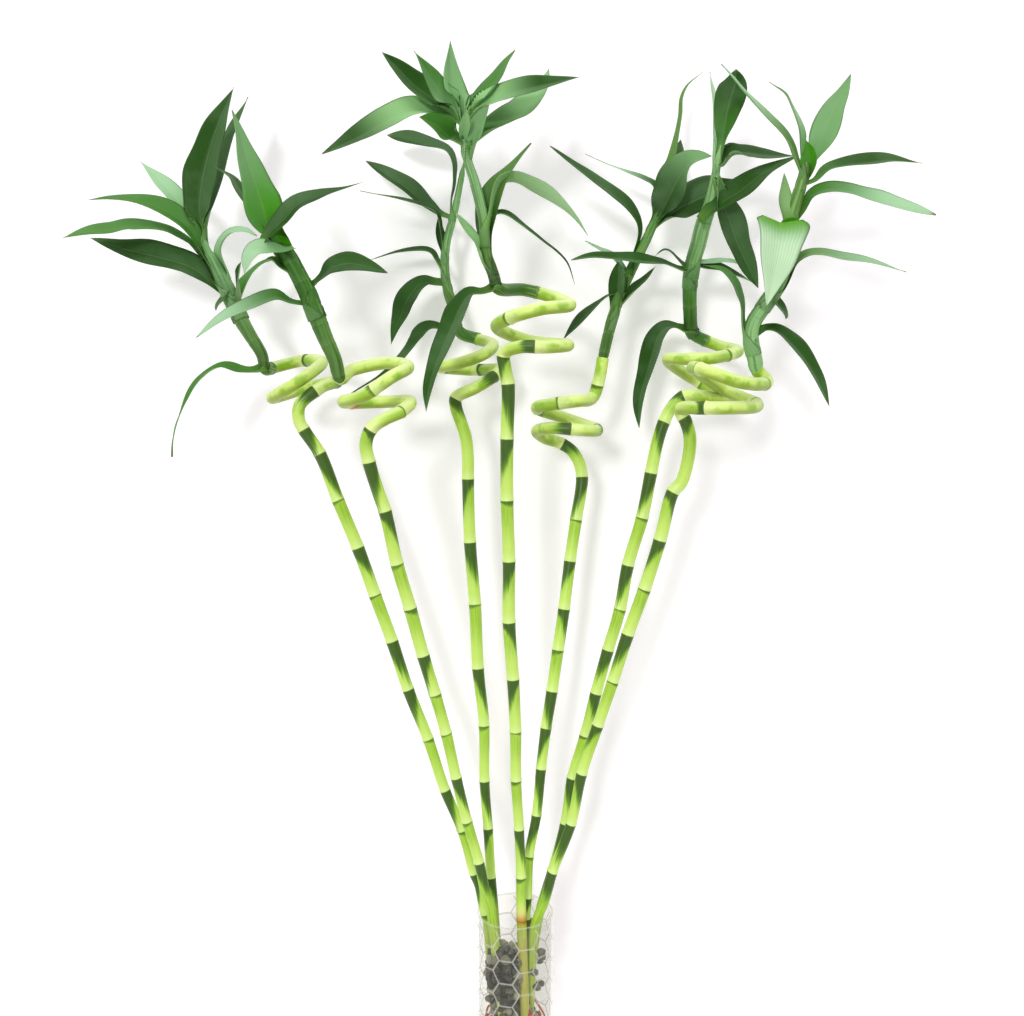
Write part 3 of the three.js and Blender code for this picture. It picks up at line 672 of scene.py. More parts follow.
@dataclass(frozen=True)
class ClearFinish:
    """A see-through skin that reflects by its angle, glass or still water, with a painted glowing pale film
    at grazing edges and on the glass's ribs, standing in for the light they catch.
    """

    name: str
    tint: str
    painted_glow: str
    base_glow: float
    edge_glow: float
    rib_glow: float
    index: float
    wave_scale: float = 60
    wave_height: float = 0.0002

    def material(self) -> Material:
        """Builds the clear skin.

        Returns:
            The material.
        """
        material, graph = new_material(self.name)
        film = graph.add("ShaderNodeBsdfTransparent", ink(self.tint))
        # Painted light: a pale, faintly glowing film, stronger at grazing edges and on the ribs and rim,
        # stands in for light that the clear glass catches.
        painted_glow = graph.surface(Base_Color=ink(self.painted_glow), Roughness=0.5, Emission_Color=ink(self.painted_glow),
                             Emission_Strength=0.2)
        facing = graph.add("ShaderNodeLayerWeight", 0.3, out=1)
        glow_share = graph.soft(facing, 0.7, 1.0, self.base_glow, self.edge_glow)
        glow_share = graph.math("MAXIMUM", glow_share, graph.soft(graph.mark("rib"), 0.2, 0.95, 0, self.rib_glow))
        body = graph.add("ShaderNodeMixShader", glow_share, film, painted_glow)
        waves = graph.bump(graph.noise(graph.place(), self.wave_scale), self.wave_height, 0.3)
        gloss = graph.add("ShaderNodeBsdfGlossy", (1, 1, 1, 1), 0.04)
        graph.put(gloss.node.inputs["Normal"], waves)
        outside = graph.math("SUBTRACT", 1.0, graph.add("ShaderNodeNewGeometry", out=6))
        share = graph.math("MULTIPLY", graph.add("ShaderNodeFresnel", self.index), outside)
        return show(material, graph.add("ShaderNodeMixShader", share, body, gloss))


@dataclass(frozen=True)
class StudioFinish:
    """The plain pale paint of the floor and the backdrop, which can't be seen from behind."""

    name: str
    paint: str
    glow: float
    see_through_back: bool
    grain_scale: float = 40

    def material(self) -> Material:
        """Builds the paint.

        Returns:
            The material.
        """
        material, graph = new_material(self.name)
        grain = graph.noise(graph.place(), self.grain_scale, 3)
        rough = graph.math("MULTIPLY_ADD", grain, 0.1, 0.85)
        shader = graph.surface(Base_Color=ink(self.paint), Roughness=rough, Emission_Color=(1, 1, 1, 1),
                               Emission_Strength=self.glow, Specular_IOR_Level=0.1)
        if self.see_through_back:
            back = graph.add("ShaderNodeNewGeometry", out=6)
            clear = graph.add("ShaderNodeBsdfTransparent")
            shader = graph.add("ShaderNodeMixShader", back, shader, clear)
        return show(material, shader)


@dataclass
class MeshPlan:
    """Points, faces and marks that are collected for one piece, in millimetres."""

    points: list[Array] = field(default_factory=list)
    faces: list[tuple[int, ...]] = field(default_factory=list)
    edges: list[tuple[int, int]] = field(default_factory=list)
    marks: dict[str, list[Array]] = field(default_factory=dict)
    count: int = 0

    def add(self, points: Array, marks: Marks, faces: Any = (), edges: Any = ()) -> None:
        """Adds a part of the piece.

        Args:
            points: Its points, one a row.
            marks: What each point says, by name. A name that another part has and this one lacks is 0.
            faces: Its faces, as places in points.
            edges: Its loose edges, as places in points.
        """
        for name, values in marks.items():
            before = sum(len(part) for part in self.points)
            if name not in self.marks:
                self.marks[name] = [np.zeros((before, *values.shape[1:]))] if before else []
        for name, kept in self.marks.items():
            shape = kept[0].shape[1:] if kept else marks[name].shape[1:]
            kept.append(np.asarray(marks.get(name, np.zeros((len(points), *shape))), float))
        self.faces += [tuple(int(i) + self.count for i in face) for face in faces]
        self.edges += [(int(a) + self.count, int(b) + self.count) for a, b in edges]
        self.points.append(points)
        self.count += len(points)

    def add_line(self, points: Array, marks: Marks) -> None:
        """Adds a line of points that a Sweep turns into a tube.

        Args:
            points: Its points in order, one a row.
            marks: What each point says, by name, with the tube's thickness.
        """
        count = len(points)
        self.add(points, {**marks, "line": np.ones(count)}, edges=[(i, i + 1) for i in range(count - 1)])

    def mesh(self, name: str) -> bpy.types.Mesh:
        """Makes the mesh, in metres, with its marks as attributes.

        Args:
            name: The mesh's name.

        Returns:
            The mesh, shaded smooth.
        """
        mesh = bpy.data.meshes.new(name)
        mesh.from_pydata((np.vstack(self.points) * METRES).tolist(), self.edges, self.faces)
        kinds = {1: ("FLOAT", "value"), 3: ("FLOAT_VECTOR", "vector"), 4: ("FLOAT_COLOR", "color")}
        for mark, parts in self.marks.items():
            values = np.concatenate(parts)
            kind, entry = kinds[1 if values.ndim == 1 else values.shape[1]]
            attribute = mesh.attributes.new(mark, kind, "POINT")
            attribute.data.foreach_set(entry, values.astype(np.float32).ravel())
        mesh.shade_smooth()
        return mesh


def add_object(name: str, mesh: bpy.types.Mesh, *materials: Material) -> bpy.types.Object:
    """Puts a mesh in the scene at the origin.

    Args:
        name: The piece's name.
        mesh: Its mesh, in metres.
        *materials: Its finishes, in the order of their slots.

    Returns:
        The object.
    """
    for material in materials:
        mesh.materials.append(material)
    obj = bpy.data.objects.new(name, mesh)
    bpy.context.scene.collection.objects.link(obj)
    return obj


def face_out(mesh: bpy.types.Mesh) -> None:
    """Turns every closed skin of a mesh so that its faces point out.

    Args:
        mesh: The mesh, which is changed.
    """
    shape = bmesh.new()
    shape.from_mesh(mesh)
    bmesh.ops.recalc_face_normals(shape, faces=shape.faces[:])
    shape.to_mesh(mesh)
    shape.free()


def new_tree(name: str, made: str, **inputs: str) -> tuple[Graph, list[Socket]]:
    """Starts a Geometry Nodes tree with named inputs.

    Args:
        name: The tree's name.
        made: The name of the geometry that it gives.
        **inputs: The kind of each input, by its name, in their order.

    Returns:
        The graph that fills the tree, and the inputs' sockets in it.
    """
    tree = bpy.data.node_groups.new(name, "GeometryNodeTree")
    for label, kind in inputs.items():
        tree.interface.new_socket(label, in_out="INPUT", socket_type=f"NodeSocket{kind}")
    tree.interface.new_socket(made, in_out="OUTPUT", socket_type="NodeSocketGeometry")
    given = tree.nodes.new("NodeGroupInput")
    return Graph(tree), given.outputs[:len(inputs)]


def make_real(obj: bpy.types.Object, tree: bpy.types.NodeTree, inputs: dict[str, Any]) -> None:
    """Runs a Geometry Nodes tree on an object and keeps the result as its plain mesh.

    Args:
        obj: The object with the tree's starting mesh.
        tree: The tree.
        inputs: Values for the tree's inputs, by name.
    """
    modifier = obj.modifiers.new(tree.name, "NODES")
    modifier.node_group = tree
    for socket in tree.interface.items_tree:
        if socket.in_out == "INPUT" and socket.name in inputs:
            modifier[socket.identifier] = inputs[socket.name]
    graph = bpy.context.evaluated_depsgraph_get()
    graph.update()
    mesh = bpy.data.meshes.new_from_object(obj.evaluated_get(graph), preserve_all_data_layers=True,
                                           depsgraph=graph)
    obj.modifiers.clear()
    obj.data = mesh


def place_piece(obj: bpy.types.Object, slot: str, *nodes: str) -> None:
    """Attaches a finished piece to the body, hides the solids that it replaces, and reports it.

    Args:
        obj: The finished piece.
        slot: Not used.
        *nodes: The solids that it replaces.
    """
    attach(obj, BODY)
    if nodes:
        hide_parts(*nodes)
    log.info("%s: %d faces", obj.name, len(obj.data.polygons))


@dataclass(frozen=True)
class Sweep:
    """Geometry Nodes that run a round section along every loose line of a mesh."""

    sides: int
    skin: Material
    blade: Material | None = None

    def tree(self) -> bpy.types.NodeTree:
        """Builds the tree.

        Returns:
            A tree that turns lines into tubes by their thickness, and keeps the faces beside them.
        """
        graph, (lines, sides, skin, blade) = new_tree(
            "round_sweep", "Tubes", Lines="Geometry", Sides="Int", Skin="Material", Blade="Material")
        is_line = graph.add("GeometryNodeInputNamedAttribute", "line")
        split = graph.add("GeometryNodeSeparateGeometry", lines, is_line, domain="POINT")
        blades = split.node.outputs[1]
        curves = graph.add("GeometryNodeMeshToCurve", split)
        circle = graph.add("GeometryNodeCurvePrimitiveCircle", sides)
        circle.node.inputs["Radius"].default_value = 1
        circle = graph.add("GeometryNodeStoreNamedAttribute", circle, True, "around",
                           graph.add("GeometryNodeInputPosition"), data_type="FLOAT_VECTOR")
        thickness = graph.add("GeometryNodeInputNamedAttribute", "thickness", data_type="FLOAT")
        tubes = graph.add("GeometryNodeCurveToMesh", curves, circle, thickness, True)
        lean = graph.add("GeometryNodeInputNamedAttribute", "lean", data_type="FLOAT_VECTOR")
        side = graph.add("ShaderNodeVectorMath", graph.add("GeometryNodeInputNormal"), lean,
                         operation="DOT_PRODUCT", out=1)
        tubes = graph.add("GeometryNodeStoreNamedAttribute", tubes, True, "side", side, data_type="FLOAT")
        tubes = graph.add("GeometryNodeSetShadeSmooth", tubes, True, True)
        tubes = graph.add("GeometryNodeSetMaterial", tubes, True, skin)
        blades = graph.add("GeometryNodeSetMaterial", blades, True, blade)
        both = graph.add("GeometryNodeJoinGeometry", tubes)
        graph.put(both.node.inputs[0], blades)
        return graph.give(graph.add("GeometryNodeRealizeInstances", both))

    def run(self, obj: bpy.types.Object) -> None:
        """Turns the object's lines into tubes, for good."""
        make_real(obj, self.tree(), {"Sides": self.sides, "Skin": self.skin, "Blade": self.blade})


def line_marks(run: Array, rings: Array, beyond: float = 60) -> Marks:
    """Measures how far each point of a line is from the rings next to it.

    Args:
        run: Each point's length along the line.
        rings: The rings' lengths along it, in order.
        beyond: How far past the line's ends the next rings would be.

    Returns:
        Marks for the distance below the next ring and above the last one.
    """
    bounds = np.concatenate([[-beyond], rings, [run[-1] + beyond]])
    after = np.searchsorted(bounds, run, side="right")
    after = np.clip(after, 1, len(bounds) - 1)
    return {"below": bounds[after] - run, "above": run - bounds[after - 1]}


def with_rings(length: float, step: float, rings: Array, close: tuple[float, ...],
               clear: float = 0.3) -> Array:
    """Chooses where a line has points: evenly, and close together at its rings.

    Args:
        length: The line's length.
        step: The even distance.
        rings: Lengths along the line where its rings are.
        close: Distances to each side of a ring where it has points too.
        clear: How near to those an even point may not be.

    Returns:
        Lengths along the line, in order.
    """
    even = np.linspace(0, length, max(2, int(length / step)))
    near = [ring + way * gap for ring in rings for gap in close for way in (-1, 1)]
    near = [value for value in near if 0 < value < length]
    kept = [value for value in even if not near or min(abs(value - other) for other in near) > clear]
    return np.unique(np.concatenate([kept, near]))


@dataclass(frozen=True)
class Cane:
    """A cane: where its foot stands, its place at the rim, and the front view of its stalk and curl.

    A stalk point with a third value is a leaf-scar ring. In the curl the third value says which side
    of the turn the point is on: -1 in front, 1 behind, 0 at the left or right end. More rings are
    given by where they show in the front view, and a fourth value says on which side of the turn.

    A band's reach is how far it hangs below its ring, and its turn how far it leans off the side.
    Lip, shoulder and groove are a ring's relief above, below and at it: how high and how wide.
    """

    foot: Pair
    rim_depth: float
    stalk: tuple[Front, ...]
    curl_depth: float
    curl: tuple[Front, ...]
    more_nodes: tuple[Front, ...] = ()
    radius: float = 4.7
    foot_share: float = 0.82
    wet: float = 0.35
    wet_levels: Pair = (104, 130)
    foot_height: float = 9.2
    foot_levels: Pair = (180, 370)
    curl_start: float = 30
    faint: Pair = (0.5, 0.75)
    faint_reach: Pair = (3, 6)
    curl_reach: Pair = (12, 18)
    stalk_reach: Pair = (24, 38)
    band_turn: float = 0.7
    scar: Pair = (0.85, 4.2)
    uneven: Pair = (0.015, 31)
    waist: float = 0.12
    lip: Pair = (0.42, 1.5)
    shoulder: Pair = (0.12, 1.8)
    groove: Pair = (0.3, 0.35)
    ring_points: tuple[float, ...] = (0.05, 0.3, 0.7, 1.4)

    def curl_points(self, view: View) -> Array:
        """Lays the curl round an upright roll.

        Args:
            view: The front view.

        Returns:
            The curl's points, in millimetres.
        """
        curl = np.asarray(self.curl, float)
        middle = (curl[:, 0].min() + curl[:, 0].max()) / 2
        reach = (curl[:, 0].max() - curl[:, 0].min()) / 2
        scale = (self.curl_depth - view.eye[1]) / view.scale
        rise = np.sqrt(np.maximum(0, reach ** 2 - (curl[:, 0] - middle) ** 2)) * scale
        return view.slide(self.curl, self.curl_depth + curl[:, 2] * rise)

    def stalk_points(self, view: View) -> Array:
        """Lays the stalk from the rim up to the curl.

        Args:
            view: The front view.

        Returns:
            The stalk's points, in millimetres.
        """
        low, high = self.stalk[0][1], self.curl[0][1]
        end = self.curl_points(view)[0][1]
        depths = [mix(self.rim_depth, end, (point[1] - low) / (high - low)) for point in self.stalk]
        return view.slide(self.stalk, depths)


@dataclass(frozen=True)
class Leaf:
    """A leaf: its width, how far its tip comes forward or goes back, its turns, tone and front view.

    A turn of 0 shows the upper face flat to the front, 90 its edge and 180 its underside. The first
    turn is the root's and the second the tip's. A point's third value sets it back, or forward if it
    is negative. The belly is the share of its length where it is widest, base is its width at its root
    as a share of that, and point is how bluntly it ends. The tone turns into the tip's over the share
    of its length that change gives. A leaf without a tuck has no sheath. The clasp is how far round
    the stem the sheath goes to each side, in radians, and the loss how much less that is at its top.
    """

    width: float
    reach: float
    turns: Pair
    tone: Tone
    front: tuple[Front, ...]
    tip: Tone | None = None
    change: Pair = (0.35, 0.8)
    belly: float = 0.4
    base: float = 0.4
    point: float = 1.6
    steps: int = 44
    strips: int = 10
    thickness: float = 0.5
    tuck: float = 16
    loosen: float = 26
    flare: float = 0.15
    sheath_gap: float = 0.08
    sheath_top: float = 4
    clasp: float = 2.95
    clasp_loss: float = 0.9
    spread: float = 14
    sharpest: float = 0.04
    edge_wave: float = 0.05
    edge_pace: Pair = (5, 8)
    folds: Pair = (0.2, 0.42)
    ripples: Pair = (0.3, 0.8)
    ripple_pace: Pair = (12, 20)
    tip_length: float = 6
    shades: Pair = (0.88, 1.12)
    palest: float = 0.45

    @property
    def across(self) -> Array:
        """The places across the upper face, from -1 to 1."""
        return np.linspace(-1, 1, self.strips + 1)

    def half_width(self, run: Array, length: float, wrap: Array, tuck: float) -> Array:
        """Gives half the leaf's width along it.

        Args:
            run: Lengths from where the leaf leaves the stem; less than 0 is wrapped round the stem.
            length: The blade's length.
            wrap: The sheath's radius there.
            tuck: The sheath's length.

        Returns:
            Half the width at each place.
        """
        share = np.clip(run / length, 0, 1)
        swell = self.base + (1 - self.base) * np.sin(np.pi / 2 * np.minimum(share / self.belly, 1)) ** 1.3
        taper = 1 - np.maximum(0, (share - self.belly) / (1 - self.belly)) ** self.point
        blade = self.width / 2 * swell * taper
        sheath = (self.clasp - self.clasp_loss * soft_step(run, -tuck, self.sheath_top)) * wrap
        free = soft_step(run, -tuck, self.spread) if tuck else np.ones(len(run))
        return np.maximum(sheath * (1 - free) + blade * free, self.sharpest)

    def frames(self, path: SmoothPath, run: Array) -> tuple[Array, Array]:
        """Turns the leaf's section along its path.

        Args:
            path: The leaf's middle line.
            run: Lengths along it.

        Returns:
            The direction of the upper face and of one side, at each place.
        """
        sense = 1.0 if self.front[-1][0] > self.front[0][0] else -1.0
        way = path.way(run)
        facing = np.array([0.0, -1.0, 0.0]) - way * (-way[:, 1:2])
        for i in range(1, len(facing)):
            steady = facing[i - 1] - way[i] * (facing[i - 1] @ way[i])
            facing[i] += 0.6 * unit(steady) * max(0.0, 0.5 - np.linalg.norm(facing[i]))
        facing = unit(facing)
        rising = np.cross(facing, way) * sense
        share = run / run[-1]
        turn = np.radians(self.turns[0] + (self.turns[1] - self.turns[0]) * share)[:, None]
        up = facing * np.cos(turn) + rising * np.sin(turn)
        return up, np.cross(up, way)

    def route(self, view: View, stem: "Stem", root_run: float, tuck: float) -> tuple[SmoothPath, float]:
        """Draws the leaf's middle line, from the foot of its sheath to its tip.

        Args:
            view: The front view.
            stem: The stem that it grows from.
            root_run: Where it leaves the stem, as a length along the plant's line.
            tuck: The sheath's length.

        Returns:
            The line, and the length along it where the leaf leaves the stem.
        """
        root = stem.path.at(root_run)
        count = len(self.front)
        nudges = np.array([point[2] if len(point) > 2 else 0.0 for point in self.front])
        depths = root[1] + nudges + self.reach * (np.arange(count) / (count - 1)) ** 1.2
        away = view.slide(self.front, depths)
        sheath = stem.path.at(np.array([root_run - tuck, root_run - tuck / 2]))
        lead = [*sheath, root] if tuck else [away[0]]
        path = SmoothPath.through([*lead, *away[1:]], 600)
        return path, path.nearest(lead[-1])

    def skin(self, path: SmoothPath, run: Array, start: float, wrap: Array, tuck: float,
             draw: random.Random) -> Array:
        """Shapes the thin blade, folded and rippled, and the sheath, which curves round the stem.

        Args:
            path: The leaf's middle line.
            run: Lengths along it.
            start: Where the leaf leaves the stem.
            wrap: The sheath's radius at each place.
            tuck: The sheath's length.
            draw: The seeded source of chance.

        Returns:
            Its points: rings by places by 3, the upper face first.
        """
        out, length = run - start, path.length - start
        up, side = self.frames(path, run)
        half = self.half_width(out, length, wrap, tuck)
        waver = np.sin(out / draw.uniform(*self.edge_pace) + draw.uniform(0, math.tau))
        half = half * (1 + self.edge_wave * waver)
        loose = soft_step(out, 1, self.loosen) if tuck else np.ones(len(out))
        behind = wrap * (1 - soft_step(out, 0, self.loosen)) if tuck else np.zeros(len(out))
        bend = np.maximum((1 - loose) / wrap, 1e-4)[:, None]
        middle = path.at(run) - up * behind[:, None]
        fold = draw.uniform(*self.folds) * loose
        ripple = draw.uniform(*self.ripples) * loose
        pace, phase = draw.uniform(*self.ripple_pace), draw.uniform(0, math.tau)
        across = self.across
        flat = half[:, None] * across
        lateral = np.sin(bend * flat) / bend
        lift = (1 - np.cos(bend * flat)) / bend + fold[:, None] * np.abs(flat)
        wave = np.sin(out[:, None] / pace * math.tau / 4 + phase + 1.3 * np.sign(across))
        lift = lift + ripple[:, None] * wave * across ** 2
        tip = 1 - soft_step(out, length - self.tip_length, length)
        thick = self.thickness / 2 * np.sqrt(1 - across ** 2) * (0.3 + 0.7 * tip)[:, None]
        base = middle[:, None] + lateral[..., None] * side[:, None] + lift[..., None] * up[:, None]
        top = base + thick[..., None] * up[:, None]
        bottom = (base - thick[..., None] * up[:, None])[:, -2:0:-1]
        return np.concatenate([top, bottom], axis=1)

    def add_to(self, plan: MeshPlan, view: View, stem: "Stem", order: int, draw: random.Random) -> None:
        """Adds the leaf's two-faced blade, and the sheath that clasps the stem.

        Args:
            plan: The piece it goes into.
            view: The front view.
            stem: The stem that it grows from.
            order: Its place among the shoot's leaves.
            draw: The seeded source of chance.
        """
        root_run = stem.nearest_front(view.slide(self.front[:1], stem.path.at(stem.start)[1])[0])
        tuck = float(np.clip(root_run - stem.start - 1, min(0.5, self.tuck), self.tuck))
        path, start = self.route(view, stem, root_run, tuck)
        ease = np.linspace(0, 1, self.steps + 1)
        run = path.length * (0.75 * ease + 0.25 * ease ** 2)
        out = run - start
        wrap = stem.radius_at(root_run) + self.sheath_gap + self.sheath_gap * (order % 4)
        wrap = wrap + self.flare * soft_step(out, -tuck, self.sheath_top)
        points = self.skin(path, run, start, wrap, tuck, draw)
        own = (soft_step(out, -8, 14) if tuck else np.ones(len(out)))[:, None]
        far = soft_step(run / path.length, *self.change)[:, None]
        blade = self.tone.linear * (1 - far) + (self.tip or self.tone).linear * far
        blade = blade * draw.uniform(*self.shades)
        tint = stem.sheath_at(root_run + out) * (1 - own) + blade * own
        # Painted light: one half of the folded blade, picked at random, is paled as if it faced the light.
        lit = draw.uniform(0, self.palest) * soft_step(self.across * draw.choice((-1, 1)), -0.1, 0.1)
        self.join(plan, points, out / (path.length - start), tint, lit)

    def join(self, plan: MeshPlan, points: Array, along: Array, tint: Array, lit: Array) -> None:
        """Joins the blade's rings of points with faces.

        Args:
            plan: The piece it goes into.
            points: Rings by places by 3.
            along: How far along the blade each ring is, less than 0 in the sheath.
            tint: Each ring's green.
            lit: How much painted light pales the blade, at each place across.
        """
        rings, sides = points.shape[:2]
        faces = ring_faces(rings, sides)
        for base in (0, (rings - 1) * sides):
            for i in range(self.strips):
                under = [base + (sides - k) % sides for k in (i, i + 1)]
                faces.append(tuple(dict.fromkeys((base + i, base + i + 1, under[1], under[0]))))
        upper = np.where(np.arange(sides) <= self.strips, 1.0, 0.0)
        upper[[0, self.strips]] = 0.5
        marks = {
            "across": np.tile(np.concatenate([self.across, self.across[-2:0:-1]]), rings),
            "along": np.repeat(along, sides),
            "upper": np.tile(upper, rings),
            "tint": np.repeat(tint, sides, axis=0),
            "lit": np.tile(np.concatenate([lit, lit[-2:0:-1]]), rings),
        }
        plan.add(points.reshape(-1, 3), marks, faces=faces)


@dataclass(frozen=True)
class Shoot:
    """A leafy shoot: its stem's radius, tone and front view, the depth of its top, and its leaves.

    The widening is how much thicker the wrapped leaf bases make the stem below its crown, as a share.
    The foot shade is how dark its foot is, the tip radius how thick it still is at its top, and the
    crown the stem's tone there. Its rings start at a length from the first range, stand apart by one
    from the second, and stop before the bare top. The swell stands below a ring, and the nick above.
    """

    radius: float
    tone: Tone
    top_depth: float
    stem: tuple[Front, ...]
    leaves: tuple[Leaf, ...]
    widening: float = 0.1
    foot_shade: float = 0.6
    tip_radius: float = 2.2
    crown: Tone | None = None
    sides: int = 16
    step: float = 2.2
    first_ring: Pair = (5, 9)
    ring_gap: Pair = (14, 24)
    bare_top: float = 20
    ring_points: tuple[float, ...] = (0.1, 0.6, 1.3)
    swell: Pair = (0.12, 2.5)
    nick: Pair = (0.08, 1.5)


@dataclass(frozen=True)
class Stem:
    """The part of a plant's line that is its shoot's stem."""

    path: SmoothPath
    start: float
    shoot: Shoot
    point_length: float = 10

    @property
    def length(self) -> float:
        """The stem's length."""
        return self.path.length - self.start

    def radius_at(self, run: Any) -> Array:
        """Gives the stem's radius: leaf bases wrap it thicker up to the crown.

        Args:
            run: Lengths along the plant's line.

        Returns:
            The radius at each.
        """
        share = np.clip((np.asarray(run, float) - self.start) / self.length, 0, 1)
        wrapped = self.shoot.radius * (0.95 + self.shoot.widening * soft_step(share, 0.05, 0.6))
        return wrapped + (self.shoot.tip_radius - wrapped) * soft_step(share, 0.55, 1)

    def tint_at(self, run: Array) -> Array:
        """Gives the stem's green, which goes from its foot's to its crown's.

        Args:
            run: Lengths along the plant's line.

        Returns:
            The colour at each, one a row.
        """
        high = soft_step((run - self.start) / self.length, 0.2, 0.6)[:, None]
        return self.shoot.tone.linear * (1 - high) + (self.shoot.crown or self.shoot.tone).linear * high

    def sheath_at(self, run: Array) -> Array:
        """Gives a sheath's green along the plant's line, which is darker near the stem's foot."""
        light = 0.8 - 0.55 * self.shoot.foot_shade * (1 - soft_step(run - self.start, 5, 42))
        return self.tint_at(run) * light[:, None]

    def nearest_front(self, target: Array) -> float:
        """Finds where the stem is nearest to a point, seen from the front.

        Args:
            target: The point.

        Returns:
            The length along the plant's line.
        """
        low, high = (mix(self.start, self.path.length, share) for share in (0.04, 0.96))
        runs = np.linspace(low, high, 93)
        apart = (self.path.at(runs) - target)[:, [0, 2]]
        return float(runs[np.argmin(np.linalg.norm(apart, axis=1))])


@dataclass(frozen=True)
class Plant:
    """One plant: a cane, and the shoot that goes on from the end of its curl."""

    number: int
    cane: Cane
    shoot: Shoot
    view: View
    sides: int = 24
    step: float = 1.6
    overlap: float = 3
    seed: int = 71

    def path(self) -> SmoothPath:
        """Draws the plant's middle line, from its foot to the shoot's top.

        Returns:
            The smooth line.
        """
        cane, shoot = self.cane, self.shoot
        curl, stalk = cane.curl_points(self.view), cane.stalk_points(self.view)
        foot = np.array([*cane.foot, cane.foot_height])
        low, high = cane.curl[-1][1], shoot.stem[-1][1]
        shares = [(point[1] - low) / (high - low) for point in shoot.stem]
        stem = self.view.slide(shoot.stem, [mix(curl[-1][1], shoot.top_depth, share) for share in shares])
        return SmoothPath.through([foot, (foot + stalk[0]) / 2, *stalk, *curl, *stem], 3000)

    def rings(self, path: SmoothPath, cut: float) -> list[tuple[float, Band]]:
        """Finds the cane's leaf-scar rings.

        Args:
            path: The plant's line.
            cut: Where the cane ends.

        Returns:
            The rings' lengths along the line, in order, each with its look.
        """
        found = [
            (path.nearest(point), Band(given[2]))
            for point, given in zip(self.cane.stalk_points(self.view), self.cane.stalk)
            if len(given) > 2
        ]
        kept = path.dense[path.run < cut]
        shown = self.view.front_of(kept)
        for across, down, band, *side in self.cane.more_nodes:
            apart = np.linalg.norm(shown - np.array([across, down]), axis=1)
            if side:
                apart = apart + 100 * ((kept[:, 1] - self.cane.curl_depth) * side[0] < 0)
            found.append((float(path.run[int(np.argmin(apart))]), Band(band)))
        return sorted(found)

    def band_marks(self, run: Array, rings: list[tuple[float, Band]], curl_start: float,
                   draw: random.Random) -> Marks:
        """Says how dark the band below each ring is, how far it hangs and to which side it leans.

        Args:
            run: Each point's length along the plant's line.
            rings: The rings, and the cane's end as the last one.
            curl_start: Where the curl starts.
            draw: The seeded source of chance.

        Returns:
            The marks, for the ring next above each point.
        """
        cane = self.cane
        dark, reach, lean = [], [], []
        for i, (place, band) in enumerate(rings):
            turn = draw.uniform(-cane.band_turn, cane.band_turn) + math.pi * (i % 2)
            strong = band in (Band.DARK, Band.FULL)
            hanging = cane.curl_reach if place > curl_start - cane.curl_reach[0] else cane.stalk_reach
            dark.append(1.0 if strong else draw.uniform(*cane.faint))
            reach.append(draw.uniform(*(hanging if strong else cane.faint_reach)))
            lean.append((0.0, -1.0, 0.0) if band is Band.FULL else (math.cos(turn), math.sin(turn), 0.0))
        above_ring = np.searchsorted([place for place, _ in rings[:-1]], run, side="right")
        marks = {"dark": dark, "reach": reach, "lean": lean}
        return {name: np.asarray(values)[above_ring] for name, values in marks.items()}

    def stain_marks(self, run: Array, rings: list[tuple[float, Band]]) -> Marks:
        """Says where the cane has a brown scar in a cream patch, and where it is as green as its shoot.

        Args:
            run: Each point's length along the plant's line.
            rings: The rings.

        Returns:
            The marks, from 0 to 1.
        """
        stains = {name: np.zeros(len(run)) for name in ("tan", "cream", "leafy")}
        for place, band in rings:
            if band is Band.SHOOT:
                stains["leafy"] += soft_step(run, place - 0.5, place + 0.5)
            if band is Band.TAN:
                stains["tan"] += ridge(run - place, self.cane.scar)
                patch = soft_step(run, place - 6, place) * (1 - soft_step(run, place + 4, place + 16))
                stains["cream"] += 0.6 * patch
        return {name: np.clip(values, 0, 1) for name, values in stains.items()}

    def build_cane(self, skin: Material) -> None:
        """Builds the ringed cane with its curl.

        Args:
            skin: The cane's finish.
        """
        cane, path = self.cane, self.path()
        curl = cane.curl_points(self.view)
        curl_start, cut = path.nearest(curl[0]), path.nearest(curl[-1])
        rings = self.rings(path, cut)
        places = np.array([place for place, _ in rings])
        run = with_rings(cut, self.step, places, cane.ring_points)
        marks = line_marks(run, places)
        below, above = marks["below"], marks["above"]
        points = path.at(run)
        radius = cane.radius * (1 + cane.uneven[0] * np.sin(run / cane.uneven[1] + self.number))
        radius *= cane.foot_share + (1 - cane.foot_share) * soft_step(points[:, 2], *cane.foot_levels)
        radius -= cane.waist * np.sin(np.pi * np.clip(above / (above + below), 0, 1))
        radius += ridge(above, cane.lip) + ridge(below, cane.shoulder)
        radius -= ridge(below, cane.groove)
        draw = random.Random(self.seed + self.number)
        marks |= self.band_marks(run, [*rings, (cut, Band.PLAIN)], curl_start, draw)
        marks |= self.stain_marks(run, rings)
        marks |= {
            "wet": cane.wet * (1 - soft_step(points[:, 2], *cane.wet_levels)),
            "curl": soft_step(run, curl_start - cane.curl_start, curl_start),
            "run": run,
            "thickness": radius * METRES,
        }
        plan = MeshPlan()
        plan.add_line(points, marks)
        name = f"cane_{self.number}"
        obj = add_object(f"ringed_{name}", plan.mesh(name))
        Sweep(self.sides, skin).run(obj)
        place_piece(obj, "cane", name)

